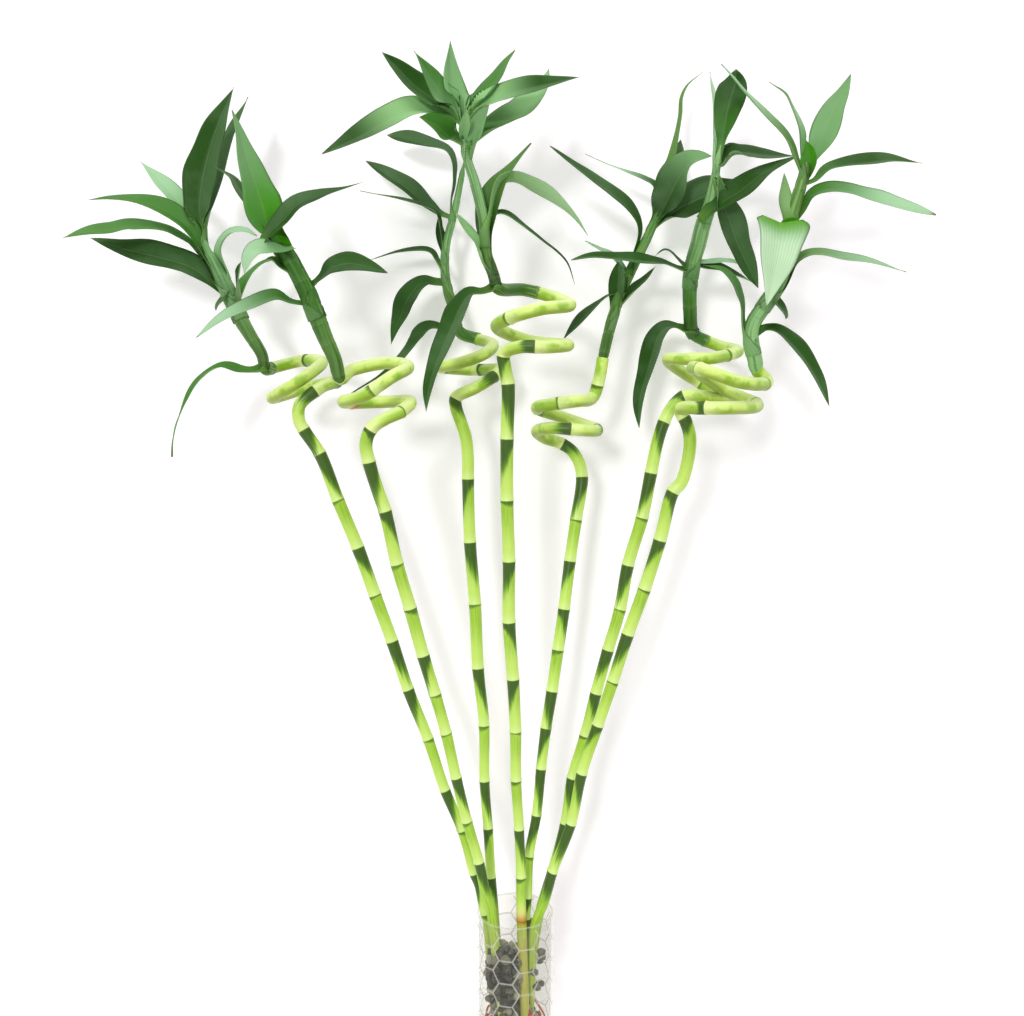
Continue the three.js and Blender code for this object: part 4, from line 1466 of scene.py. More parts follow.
    def build_shoot(self, skin: Material, blade: Material) -> None:
        """Builds the shoot's stem with its leaves.

        Args:
            skin: The stem's finish.
            blade: The leaves' finish.
        """
        draw = random.Random(self.seed * 3 + self.number)
        shoot, path = self.shoot, self.path()
        stem = Stem(path, path.nearest(self.cane.curl_points(self.view)[-1]) - self.overlap, shoot)
        places = [draw.uniform(*shoot.first_ring)]
        while places[-1] < stem.length - shoot.bare_top:
            places.append(places[-1] + draw.uniform(*shoot.ring_gap))
        places = np.array(places)
        run = with_rings(stem.length, shoot.step, places, shoot.ring_points)
        marks = line_marks(run, places)
        radius = stem.radius_at(stem.start + run)
        radius += ridge(marks["below"], shoot.swell) - ridge(marks["above"], shoot.nick)
        radius *= 0.8 + 0.2 * soft_step(run, 0, 3 * self.overlap)
        radius *= 0.25 + 0.75 * (1 - soft_step(run, stem.length - stem.point_length, stem.length))
        marks |= {
            "run": run,
            "thickness": radius * METRES,
            "tint": stem.tint_at(stem.start + run),
            "foot": np.full(len(run), shoot.foot_shade),
        }
        plan = MeshPlan()
        plan.add_line(path.at(stem.start + run), marks)
        for order, leaf in enumerate(shoot.leaves):
            leaf.add_to(plan, self.view, stem, order, draw)
        name = f"leafy_shoot_{self.number}"
        mesh = plan.mesh(name)
        face_out(mesh)
        obj = add_object(f"fine_{name}", mesh)
        Sweep(shoot.sides, skin, blade).run(obj)
        place_piece(obj, "leaf", name)


def lathe(radii: Array, heights: Array, columns: int) -> tuple[Array, list[tuple[int, ...]]]:
    """Turns a profile round the upright axis, and closes it there at both ends.

    Args:
        radii: The radius of each row, or of each row and column.
        heights: The height of each row.
        columns: How many columns go round.

    Returns:
        The points and the faces.
    """
    radii = np.broadcast_to(np.asarray(radii, float).reshape(len(heights), -1), (len(heights), columns))
    angles = np.arange(columns) * math.tau / columns
    rows = np.stack([radii * np.cos(angles), radii * np.sin(angles),
                     np.broadcast_to(np.asarray(heights, float)[:, None], radii.shape)], axis=-1)
    ends = np.array([[0, 0, heights[0]], [0, 0, heights[-1]]])
    points = np.vstack([rows.reshape(-1, 3), ends])
    faces = ring_faces(len(heights), columns)
    first, last = len(points) - 2, (len(heights) - 1) * columns
    for i in range(columns):
        after = (i + 1) % columns
        faces += [(first, after, i), (first + 1, last + i, last + after)]
    return points, faces


@dataclass(frozen=True)
class Vase:
    """The clear cylinder, with a raised net of six-sided cells on its outside.

    The edges' points are inward from the outer wall and up from the underside, and inward from the
    bore and up from the floor.
    """

    height: float = 130
    radius: float = 30
    wall: float = 2
    floor: float = 8
    columns: int = 360
    row_step: float = 0.66
    net_columns: int = 12
    net_turn_deg: float = -13.9
    net_joint: float = 121.7
    net_foot: float = 5
    net_top: float = 127
    rib_height: float = 0.3
    rib_half_width: float = 0.78
    # How much of the painted glow lights the rim, as its highlight.
    rim_glow: float = 0.6
    foot_edge: tuple[Pair, ...] = ((4, 0), (1.5, 0), (0.6, 0.35), (0.1, 1.1))
    bowl_edge: tuple[Pair, ...] = ((0.3, 1.6), (1.2, 0.6), (3, 0), (14, 0))

    def rib(self, angles: Array, heights: Array) -> Array:
        """Measures how near each place on the wall is to a rib of the net.

        Args:
            angles: The columns' angles.
            heights: The rows' heights.

        Returns:
            Rows by columns, from 0 in a cell to 1 on a rib.
        """
        pitch = math.tau / self.net_columns
        size = 2 / 3 * pitch * self.radius
        tall = size * math.sqrt(3)
        start = math.radians(self.net_turn_deg - 90)
        place = (angles - start) / pitch
        nearest = np.full((len(heights), len(angles)), np.inf)
        for nudge in (-1, 0, 1):
            column = np.round(place) + nudge
            across = np.abs(place - column) * pitch * self.radius
            shift = np.where(np.mod(column, 2) == 0, tall / 2, 0)
            level = (heights[:, None] - self.net_joint - shift) / tall
            away = np.abs(level - np.round(level)) * tall
            nearest = np.minimum(nearest, np.maximum(away, across * math.cos(math.pi / 6) + away / 2))
        ends = soft_step(heights, self.net_foot - 1, self.net_foot + 1)
        ends = ends * (1 - soft_step(heights, self.net_top - 0.5, self.net_top + 0.8))
        return ridge(tall / 2 - nearest, (1, self.rib_half_width)) * ends[:, None]

    def build(self, clear: Material) -> None:
        """Builds the vase.

        Args:
            clear: Its finish.
        """
        bore, lip = self.radius - self.wall, self.wall / 2
        top = self.height - lip
        rows = int((self.height - 3) / self.row_step)
        wall = np.linspace(2, top, rows)
        foot = [(self.radius - inward, z) for inward, z in self.foot_edge]
        rim = [(self.radius - lip + lip * math.cos(a), top + lip * math.sin(a))
               for a in np.radians(np.arange(15, 180, 15))]
        bowl = [(bore - inward, self.floor + z) for inward, z in self.bowl_edge]
        inside = [(bore, z) for z in np.linspace(top, self.floor + 3, 16)]
        profile = np.array([*foot, *((self.radius, z) for z in wall), *rim, *inside, *bowl])
        angles = np.arange(self.columns) * math.tau / self.columns
        ribs = np.zeros((len(profile), self.columns))
        ribs[len(foot):len(foot) + rows] = self.rib(angles, wall)
        points, faces = lathe(profile[:, :1] + self.rib_height * ribs, profile[:, 1], self.columns)
        # The rim carries the painted glow as its highlight.
        ribs[len(foot) + rows:len(foot) + rows + len(rim)] = self.rim_glow
        plan = MeshPlan()
        plan.add(points, {"rib": np.concatenate([ribs.ravel(), [0, 0]])}, faces=faces)
        mesh = plan.mesh("glass_vase")
        face_out(mesh)
        place_piece(add_object("ribbed_vase", mesh, clear), "glass", "glass_vase")


@dataclass(frozen=True)
class Water:
    """The water in the vase, drawn up a little where it meets the wall."""

    radius: float = 27.9
    bottom: float = 8.2
    top: float = 114
    rise: float = 1.1
    rise_width: float = 1.2
    middle: float = 8
    columns: int = 96

    def build(self, clear: Material) -> None:
        """Builds the water.

        Args:
            clear: Its finish.
        """
        wall = [(self.radius, z) for z in np.linspace(self.bottom + 3, self.top, 12)]
        edge = [(self.radius - out, self.top - self.rise * (1 - math.exp(-out / self.rise_width)))
                for out in (0.3, 0.8, 1.5, 2.5, 4, 7)]
        foot = [(self.radius - 4, self.bottom), (self.radius - 1, self.bottom + 0.8)]
        profile = np.array([(self.middle, self.bottom), *foot, *wall, *edge,
                            (self.middle, self.top - self.rise)])
        points, faces = lathe(profile[:, 0], profile[:, 1], self.columns)
        plan = MeshPlan()
        plan.add(points, {}, faces=faces)
        mesh = plan.mesh("water")
        face_out(mesh)
        place_piece(add_object("still_water", mesh, clear), "water", "water")


@dataclass(frozen=True)
class PebbleBed:
    """Dark pebbles heaped round the canes, with a few loose ones nearer the wall."""

    bottom: float = 8.4
    top: float = 99
    low_radius: float = 19
    high_radius: float = 12
    low_centre: Pair = (0, 0)
    high_centre: Pair = (-8.5, -7)
    narrowing: Pair = (30, 58)
    leaning: Pair = (35, 75)
    wave: Pair = (0.06, 6.1)
    rows: int = 30
    columns: int = 40
    spacing: float = 6
    size: float = 4.1
    least_form: tuple[float, float, float] = (0.75, 0.6, 0.5)
    most_form: tuple[float, float, float] = (1.25, 1.0, 0.8)
    dent_scale: float = 0.9
    dent_depth: float = 0.7
    core_share: tuple[float, float, float] = (0.88, 0.88, 0.98)
    seed: int = 5
    loose: tuple[tuple[float, float, float], ...] = (
        (20.6, -7, 99.5), (20.8, -6.6, 95), (12.8, 3, 119), (-19, -10, 84), (-20, -9, 62),
        (15, -6, 82), (19, 8, 84), (20, 6, 66), (15, -18, 30), (-8, -21, 22), (21, 6, 30),
        (-21, 4, 30), (2, 19, 90), (17, -10, 72),
    )

    def heap(self) -> MeshPlan:
        """Shapes the heap's surface and the places of the loose pebbles.

        Returns:
            The plan, with the loose places marked as single.
        """
        heights = np.linspace(self.bottom, self.top, self.rows)
        radii = self.low_radius + (self.high_radius - self.low_radius) * soft_step(heights, *self.narrowing)
        radii = radii * (1 + self.wave[0] * np.sin(heights / self.wave[1]))
        radii = np.concatenate([[radii[0] * 0.6], radii, [radii[-1] * 0.6]])
        heights = np.concatenate([[self.bottom], heights, [self.top + 3]])
        points, faces = lathe(radii, heights, self.columns)
        rise = soft_step(points[:, 2], *self.leaning)[:, None]
        points[:, :2] += np.asarray(self.low_centre) * (1 - rise) + np.asarray(self.high_centre) * rise
        plan = MeshPlan()
        plan.add(points, {"single": np.zeros(len(points))}, faces=faces)
        plan.add(np.array(self.loose, float), {"single": np.ones(len(self.loose))})
        return plan

    def tree(self) -> bpy.types.NodeTree:
        """Builds the tree that strews pebbles.

        Returns:
            A tree that sets uneven stones on a heap's faces and on its single points.
        """
        graph, (heap, spacing, size, seed, stone) = new_tree(
            "strewn_pebbles", "Pebbles", Heap="Geometry", Spacing="Float", Size="Float", Seed="Int",
            Stone="Material")
        spots = graph.add("GeometryNodeDistributePointsOnFaces", heap, distribute_method="POISSON")
        graph.put(spots.node.inputs["Distance Min"], spacing)
        spots.node.inputs["Density Max"].default_value = 200000
        graph.put(spots.node.inputs["Seed"], seed)
        single = graph.add("GeometryNodeInputNamedAttribute", "single")
        loose = graph.add("GeometryNodeMeshToPoints", heap, single)
        places = graph.add("GeometryNodeJoinGeometry", spots)
        graph.put(places.node.inputs[0], loose)
        turn = graph.add("FunctionNodeRandomValue", (0, 0, 0), (math.tau,) * 3, *(None,) * 6, seed,
                         data_type="FLOAT_VECTOR")
        form = graph.add("FunctionNodeRandomValue", self.least_form, self.most_form, *(None,) * 6, seed,
                         data_type="FLOAT_VECTOR")
        form = graph.add("ShaderNodeVectorMath", form, operation="SCALE")
        graph.put(form.node.inputs["Scale"], size)
        ball = graph.add("GeometryNodeMeshIcoSphere", 1.0, 3)
        dents = graph.add("ShaderNodeTexNoise", graph.add("GeometryNodeInputPosition"), None,
                          self.dent_scale, 1.0, out=1)
        dents = graph.add("ShaderNodeVectorMath", dents, (0.5, 0.5, 0.5), operation="SUBTRACT")
        dents = graph.add("ShaderNodeVectorMath", dents, operation="SCALE")
        dents.node.inputs["Scale"].default_value = self.dent_depth
        ball = graph.add("GeometryNodeSetPosition", ball, True, None, dents)
        stones = graph.add("GeometryNodeInstanceOnPoints", places, True, ball, False, None, turn, form)
        shade = graph.add("FunctionNodeRandomValue", *(None,) * 8, seed, out=1)
        stones = graph.add("GeometryNodeStoreNamedAttribute", stones, True, "shade", shade,
                           data_type="FLOAT", domain="INSTANCE")
        core = graph.add("GeometryNodeTransform", heap)
        core.node.inputs["Scale"].default_value = self.core_share
        both = graph.add("GeometryNodeJoinGeometry", stones)
        graph.put(both.node.inputs[0], core)
        both = graph.add("GeometryNodeRealizeInstances", both)
        both = graph.add("GeometryNodeSetShadeSmooth", both, True, True)
        return graph.give(graph.add("GeometryNodeSetMaterial", both, True, stone))

    def build(self, stone: Material) -> None:
        """Builds the bed.

        Args:
            stone: The pebbles' finish.
        """
        mesh = self.heap().mesh("pebble_bed")
        face_out(mesh)
        obj = add_object("strewn_pebbles", mesh)
        make_real(obj, self.tree(), {"Spacing": self.spacing * METRES, "Size": self.size * METRES,
                                     "Seed": self.seed, "Stone": stone})
        self.drop_loose(obj.data)
        place_piece(obj, "pebble", "pebble_bed")

    def drop_loose(self, mesh: bpy.types.Mesh) -> None:
        """Deletes points that belong to no face.

        Args:
            mesh: The bed's mesh.
        """
        shape = bmesh.new()
        shape.from_mesh(mesh)
        alone = [vert for vert in shape.verts if not vert.link_faces]
        bmesh.ops.delete(shape, geom=alone, context="VERTS")
        shape.to_mesh(mesh)
        shape.free()


@dataclass(frozen=True)
class Roots:
    """Orange roots that leave the canes' feet and wander between pebbles and wall."""

    per_cane: int = 4
    start_levels: Pair = (14, 64)
    lowest: float = 10.5
    highest: float = 70
    widest: float = 25.5
    joints: tuple[int, int] = (5, 8)
    swing: float = 0.3
    wander: float = 0.2
    outward: Pair = (1, 6)
    upward: Pair = (-11, 3)
    thickness: float = 1.0
    taper: float = 0.7
    sides: int = 8
    seed: int = 29

    def route(self, path: SmoothPath, draw: random.Random) -> SmoothPath:
        """Draws one root's line.

        Args:
            path: The line of the plant that it grows from.
            draw: The seeded source of its turns.

        Returns:
            The root's line, from the cane out.
        """
        height = draw.uniform(*self.start_levels)
        start = path.at(path.run[int(np.argmax(path.dense[:, 2] > height))])
        angle, radius = math.atan2(start[1], start[0]), math.hypot(start[0], start[1])
        points = [start]
        joints = draw.randint(*self.joints)
        swing = draw.uniform(-self.swing, self.swing)
        for _ in range(joints):
            angle += swing + draw.uniform(-self.wander, self.wander)
            radius = min(self.widest, radius + draw.uniform(*self.outward))
            height = min(max(height + draw.uniform(*self.upward), self.lowest), self.highest)
            points.append(np.array([radius * math.cos(angle), radius * math.sin(angle), height]))
        return SmoothPath.through(points, 200)

    def build(self, plants: list[Plant], skin: Material) -> None:
        """Builds the roots.

        Args:
            plants: What they grow from.
            skin: Their finish.
        """
        draw = random.Random(self.seed)
        plan = MeshPlan()
        for plant in plants:
            path = plant.path()
            for _ in range(self.per_cane):
                line = self.route(path, draw)
                run = np.linspace(0, line.length, 50)
                share = run / line.length
                thickness = self.thickness * METRES * (1 - self.taper * share ** 1.5)
                plan.add_line(line.at(run), {"share": share, "thickness": thickness})
        obj = add_object("orange_roots", plan.mesh("orange_roots"))
        Sweep(self.sides, skin).run(obj)
        place_piece(obj, "cane")


@dataclass(frozen=True)
class Studio:
    """A plain pale floor and backdrop with soft light from the upper left."""

    wall_depth: float = 96
    wall_glow: float = 0.2
    cove: float = 60
    half_width: float = 2200
    wall_height: float = 2400
    floor_radius: float = 3500
    floor_sides: int = 64
    lift: float = 0.3
    sky: float = 0.42
    key: Pair = (1.1, 9)
    key_turns: Pair = (76, -16)
    top: Pair = (1.5, 60)
    top_turns: Pair = (24, 12)

    def build(self) -> None:
        """Builds the floor, the backdrop and the lights."""
        angles = np.arange(self.floor_sides) * math.tau / self.floor_sides
        disc = np.stack([np.cos(angles), np.sin(angles), 0 * angles], axis=1) * self.floor_radius
        ground = MeshPlan()
        ground.add(disc, {}, faces=[range(self.floor_sides)])
        paint = StudioFinish("floor_paint", "#D4D4D4", 0, False).material()
        floor = add_object("studio_floor", ground.mesh("studio_floor"), paint)
        foot = self.wall_depth - self.cove
        line = [(foot + self.cove * math.sin(a), self.lift + self.cove * (1 - math.cos(a)))
                for a in np.radians(np.arange(0, 91, 9))]
        line.append((self.wall_depth, self.wall_height))
        sheet = np.array([(x, y, z) for y, z in line for x in (-self.half_width, self.half_width)])
        strips = [(2 * i, 2 * i + 1, 2 * i + 3, 2 * i + 2) for i in range(len(line) - 1)]
        backdrop = MeshPlan()
        backdrop.add(sheet, {}, faces=strips)
        paint = StudioFinish("wall_paint", "#F8F3F7", self.wall_glow, True).material()
        wall = add_object("studio_wall", backdrop.mesh("studio_wall"), paint)
        self.light()

    def light(self) -> None:
        """Sets the pale sky, a key light from the front and a broad soft one from above."""
        world = bpy.data.worlds.new("pale_sky")
        world.use_nodes = True
        world.node_tree.nodes["Background"].inputs["Color"].default_value = (1, 1, 1, 1)
        world.node_tree.nodes["Background"].inputs["Strength"].default_value = self.sky
        bpy.context.scene.world = world
        self.add_sun("key_light", self.key, self.key_turns)
        self.add_sun("top_light", self.top, self.top_turns)

    def add_sun(self, name: str, light: Pair, turns: Pair) -> None:
        """Adds a far light.

        Args:
            name: What it is called.
            light: How strong it is, and how broad in degrees.
            turns: How far it is tipped up from straight down, and turned to the side, in degrees.
        """
        sun = bpy.data.lights.new(name, "SUN")
        sun.energy = light[0]
        sun.angle = math.radians(light[1])
        lamp = bpy.data.objects.new(name, sun)
        lamp.rotation_euler = (math.radians(turns[0]), 0, math.radians(turns[1]))
        bpy.context.scene.collection.objects.link(lamp)


PLAIN, DARK, TAN, SHOOT, FULL = Band
DEEP, MID, FRESH, BRIGHT, PALE, LIGHT, STALK, SAP = Tone

CANE_1 = Cane(
    foot=(-13, 2), rim_depth=1,
    stalk=(
        (487, 920), (483, 905), (479, 885), (474, 873, DARK), (462, 830, PLAIN), (445, 790, DARK),
        (428, 739, PLAIN), (408, 689, DARK), (392, 641, DARK), (375, 595, PLAIN), (358, 548, DARK),
        (338, 500, PLAIN), (320, 454, DARK), (304, 430, DARK), (299, 420),
    ),
    curl_depth=20,
    curl=(
        (300, 405, -1), (320, 388, -1), (336, 382, 0), (306, 388, 1), (273, 398, 0), (285, 390, -1),
        (305, 377, -1), (322, 362, 0), (300, 361, 1), (275, 367, 1), (265, 368, 0),
    ),
    more_nodes=(
        (486, 913, PLAIN), (315, 391, FULL, -1), (337, 381, FULL, -1), (306, 361, DARK),
        (270, 367, SHOOT),
    ),
)

CANE_2 = Cane(
    foot=(-5, -12), rim_depth=-10,
    stalk=(
        (490, 905), (486, 895), (479, 862, DARK), (467, 821, PLAIN), (456, 777, DARK), (446, 733, PLAIN),
        (435, 694, PLAIN), (423, 655, DARK), (410, 608, PLAIN), (397, 564, PLAIN), (385, 511, DARK),
        (379, 494), (369, 462, DARK), (366, 443),
    ),
    curl_depth=-25,
    curl=(
        (372, 428, -1), (385, 419, -1), (400, 412, -1), (410, 402, 0), (380, 402, 1), (344, 402, 0),
        (365, 395, -1), (390, 378, -1), (408, 367, 0), (385, 363, 1), (352, 370, 1), (340, 378, 0),
    ),
    more_nodes=((371, 430, DARK), (400, 411, PLAIN), (372, 389, PLAIN), (352, 402, TAN)),
)

CANE_3 = Cane(
    foot=(-8, 12), rim_depth=12,
    stalk=(
        (493, 900), (491, 877, DARK), (488, 828, DARK), (484.5, 781, DARK), (484, 725, PLAIN),
        (478, 668, DARK), (475, 604, PLAIN), (470, 542, DARK), (468, 479, DARK), (468, 459), (466, 438),
        (462, 425), (456, 407),
    ),
    curl_depth=40,
    curl=(
        (456, 398, -1), (475, 388, -1), (490, 379, -1), (500, 370, 0), (470, 370, 1), (441, 367, 0),
        (460, 363, -1), (482, 355, -1), (493, 345, 0), (478, 339, 1), (460, 332, 1),
    ),
    more_nodes=(
        (455, 398, DARK), (493, 376, FULL, -1), (480, 370, DARK), (442, 367, DARK), (478, 339, SHOOT),
    ),
)

CANE_4 = Cane(
    foot=(9, -11), rim_depth=-8,
    stalk=(
        (521, 900), (521, 877, PLAIN), (519, 829, DARK), (516, 780, PLAIN), (515.5, 731, PLAIN),
        (513, 679, DARK), (509, 622, DARK), (509, 561, DARK), (507, 500, PLAIN), (507, 439, DARK),
        (508, 384, DARK), (505, 368),
    ),
    curl_depth=-20,
    curl=(
        (504, 354, -1), (520, 347, -1), (545, 347, -1), (568, 345, 0), (530, 341, 1), (497, 327, 0),
        (512, 317, -1), (540, 309, -1), (570, 305, 0), (550, 296, 1), (525, 290, 1), (497, 287, 0),
    ),
    wet=0.9,
    more_nodes=((522, 919, TAN), (504, 356, DARK), (535, 347, DARK), (510, 318, PLAIN), (537, 292, SHOOT)),
)

CANE_5 = Cane(
    foot=(0, 0), rim_depth=3,
    stalk=(
        (527, 895), (529, 856, PLAIN), (536.5, 815, DARK), (541, 769, DARK), (546, 728, DARK),
        (552, 691, DARK), (558, 650, PLAIN), (564, 609, DARK), (570, 561, DARK), (576, 520, PLAIN),
        (582, 477, DARK), (578, 460), (571, 450),
    ),
    curl_depth=15,
    curl=(
        (560, 443, 1), (545, 438, 1), (537, 431, 0), (555, 428, -1), (580, 430, -1), (597, 430, 0),
        (568, 419, 1), (537, 408, 0), (553, 404, -1), (576, 401, -1), (593, 397, 0), (599, 380, 0),
        (603, 358, 0),
    ),
    more_nodes=(
        (531, 918, DARK), (530, 897, DARK), (562, 444, DARK), (571, 429, DARK), (596, 430, DARK),
        (538, 408, DARK), (560, 403, PLAIN), (598, 385, PLAIN),
    ),
)

CANE_6 = Cane(
    foot=(4, 12.5), rim_depth=7,
    stalk=(
        (539, 915), (552, 871, FULL), (565, 823, FULL), (572, 778, DARK), (585, 735.5, PLAIN),
        (596, 693, DARK), (608, 650, DARK), (620, 609, PLAIN), (628, 565, DARK), (642, 518, PLAIN),
        (651, 473, DARK), (658, 440), (664, 422, DARK), (672, 407),
    ),
    curl_depth=30,
    curl=(
        (684, 396, -1), (700, 396, -1), (716, 398, -1), (729, 397, 0), (700, 383, 1), (668, 360, 0),
        (685, 359, -1), (712, 358, -1), (738, 351, 0), (720, 346, 1), (704, 340, 1), (693, 333, 1),
    ),
    more_nodes=(
        (684, 396, DARK), (728, 397, DARK), (700, 383, PLAIN), (727, 355, PLAIN), (706, 341, SHOOT),
    ),
)

CANE_7 = Cane(
    foot=(9, 4), rim_depth=-5,
    stalk=(
        (535, 925), (540, 912), (545, 900), (553, 871), (571, 824, FULL), (582, 773, DARK),
        (598, 725, DARK), (613, 681, PLAIN), (628, 634, DARK), (644.5, 589, PLAIN), (660, 540, DARK),
        (673, 492, DARK), (681, 483), (688, 460), (690, 438), (686, 422),
    ),
    curl_depth=-30,
    curl=(
        (680, 410, 0), (700, 408, -1), (725, 408, -1), (757, 405, 0), (725, 390, 1), (693, 368, 0),
        (710, 372, -1), (740, 382, -1), (767, 381, 0), (757, 370, 0),
    ),
    more_nodes=(
        (551, 871, FULL), (684, 418, DARK), (706, 408, DARK), (755, 405, PLAIN), (700, 370, PLAIN),
        (764, 382, PLAIN),
    ),
)

CANES = (CANE_1, CANE_2, CANE_3, CANE_4, CANE_5, CANE_6, CANE_7)

SHOOT_1 = Shoot(
    radius=4.5, tone=STALK, crown=FRESH, top_depth=30, widening=0.45,
    stem=((262, 355), (250, 335), (240, 318), (232, 300), (225, 285), (215, 265), (207, 250), (200, 232)),
    leaves=(
        Leaf(27, -15, (12, 12), DEEP, ((203, 235), (200, 200), (207, 160), (218, 125), (234, 87))),
        Leaf(23, 25, (50, 50), DEEP, ((208, 228), (222, 180), (233, 135), (243, 110), (248, 97))),
        Leaf(20, 20, (45, 45), FRESH, ((206, 250), (197, 230), (178, 202), (158, 180), (140, 161)),
             tip=PALE),
        Leaf(20, -20, (60, 50), MID, ((210, 262), (197, 240), (185, 225), (165, 211), (140, 202),
             (110, 199), (88, 200))),
        Leaf(21, -45, (70, 50), MID, ((205, 255), (180, 236), (163, 229), (130, 227), (110, 230),
             (88, 232), (62, 238)), base=0.1, belly=0.6),
        Leaf(25, -10, (50, 35), DEEP, ((218, 292), (205, 276), (187, 266), (152, 256), (120, 248),
             (90, 238)), base=0.35, point=2.2),
        Leaf(18, 15, (60, 60), FRESH, ((222, 280), (221, 248), (230, 234), (245, 231), (257, 236)),
             tip=PALE),
        Leaf(17, -30, (60, 60), DEEP, ((232, 300), (238, 280), (241, 262))),
        Leaf(18, 25, (60, 60), MID, ((238, 297), (248, 278), (262, 264), (277, 258))),
        Leaf(14, -20, (50, 50), DEEP, ((226, 284), (220, 298), (216, 311))),
        Leaf(12, -20, (62, 60), MID, ((262, 370), (240, 370), (220, 367), (200, 380), (182, 410),
             (174, 435), (172, 457)), belly=0.25, point=0.9),
        Leaf(9, 10, (70, 70), DEEP, ((219, 284), (205, 262), (192, 245), (178, 233))),
    ),
)

SHOOT_2 = Shoot(
    radius=5.2, tone=STALK, crown=MID, top_depth=-35, widening=0.3, tip_radius=5.4,
    stem=((335, 360), (324, 335), (315, 312), (307, 292), (298, 274), (287, 254), (279, 236)),
    leaves=(
        Leaf(26, -8, (12, 35), BRIGHT, ((277, 246), (268, 224), (261, 202), (253, 177), (245, 154),
             (239, 132), (232, 110)), tip=FRESH, belly=0.35, base=0.7, point=1.05),
        Leaf(20, -6, (34, 58), DEEP, ((259, 246, -4), (270, 233, -10), (284, 220, -12), (298, 205, -10),
             (321, 196, -4), (343, 189), (363, 182)), belly=0.4, base=0.25, point=1.1, tuck=0),
        Leaf(17, -16, (52, 42), FRESH, ((294, 248, -7), (284, 250, -9), (271, 249, -8), (259, 249, -6),
             (250, 257, -3), (244, 274)), tip=PALE, change=(0.25, 0.7), base=0.4, belly=0.62, tuck=0),
        Leaf(15, -3, (4, 4), BRIGHT, ((290, 264), (283, 250, -4), (277, 235, -7)), belly=0.5, base=0.9,
             point=4),
        Leaf(12, -10, (60, 60), STALK, ((295, 270), (283, 262), (272, 258), (262, 262))),
        Leaf(21, -15, (60, 35), DEEP, ((303, 287), (312, 278), (321, 274), (333, 267), (347, 264),
             (365, 266), (388, 273)), base=0.12, belly=0.5),
        Leaf(16, 30, (65, 60), DEEP, ((275, 235), (257, 212), (240, 190), (232, 178), (215, 167))),
        Leaf(20, -30, (62, 48), MID, ((303, 302), (290, 298), (275, 297), (253, 305), (232, 314),
             (215, 324), (196, 338)), tip=PALE, base=0.12, belly=0.45),
    ),
)

SHOOT_3 = Shoot(
    radius=4.4, tone=STALK, crown=FRESH, top_depth=55, widening=-0.25,
    stem=(
        (455, 312), (449, 295), (445, 272), (445, 257), (447, 241), (451, 225), (455, 210), (458, 195),
        (461, 180), (464, 162),
    ),
    leaves=(
        Leaf(21, 15, (55, 42), DEEP, ((452, 218), (437, 212), (425, 205), (407, 189), (388, 176),
             (366, 161)), base=0.2, belly=0.55),
        Leaf(10, -15, (72, 64), DEEP, ((446, 245), (442, 228), (435, 212), (420, 205), (400, 199),
             (360, 191)), point=0.8),
        Leaf(11, 10, (68, 62), DEEP, ((445, 268), (438, 258), (430, 251), (400, 252), (370, 260))),
        Leaf(20, -25, (50, 28), DEEP, ((445, 283), (434, 281), (425, 282), (416, 288), (407, 301),
             (402, 314), (396, 328), (391, 345)), base=0.35, belly=0.45),
        Leaf(19, -65, (50, 60), DEEP, ((452, 330), (437, 327), (427, 330), (418, 340), (409, 351),
             (398, 363), (384, 374), (366, 385), (347, 396)), base=0.15, belly=0.28, point=0.7),
        Leaf(11, 0, (40, 40), DEEP, ((447, 252), (441, 240), (439, 228), (438, 215))),
        Leaf(20, 10, (92, 40), DEEP, ((453, 214), (453, 195), (453, 178), (452, 162), (446, 151),
             (428, 146), (408, 140), (387, 135)), base=0.05, belly=0.8, tuck=6),
    ),
)

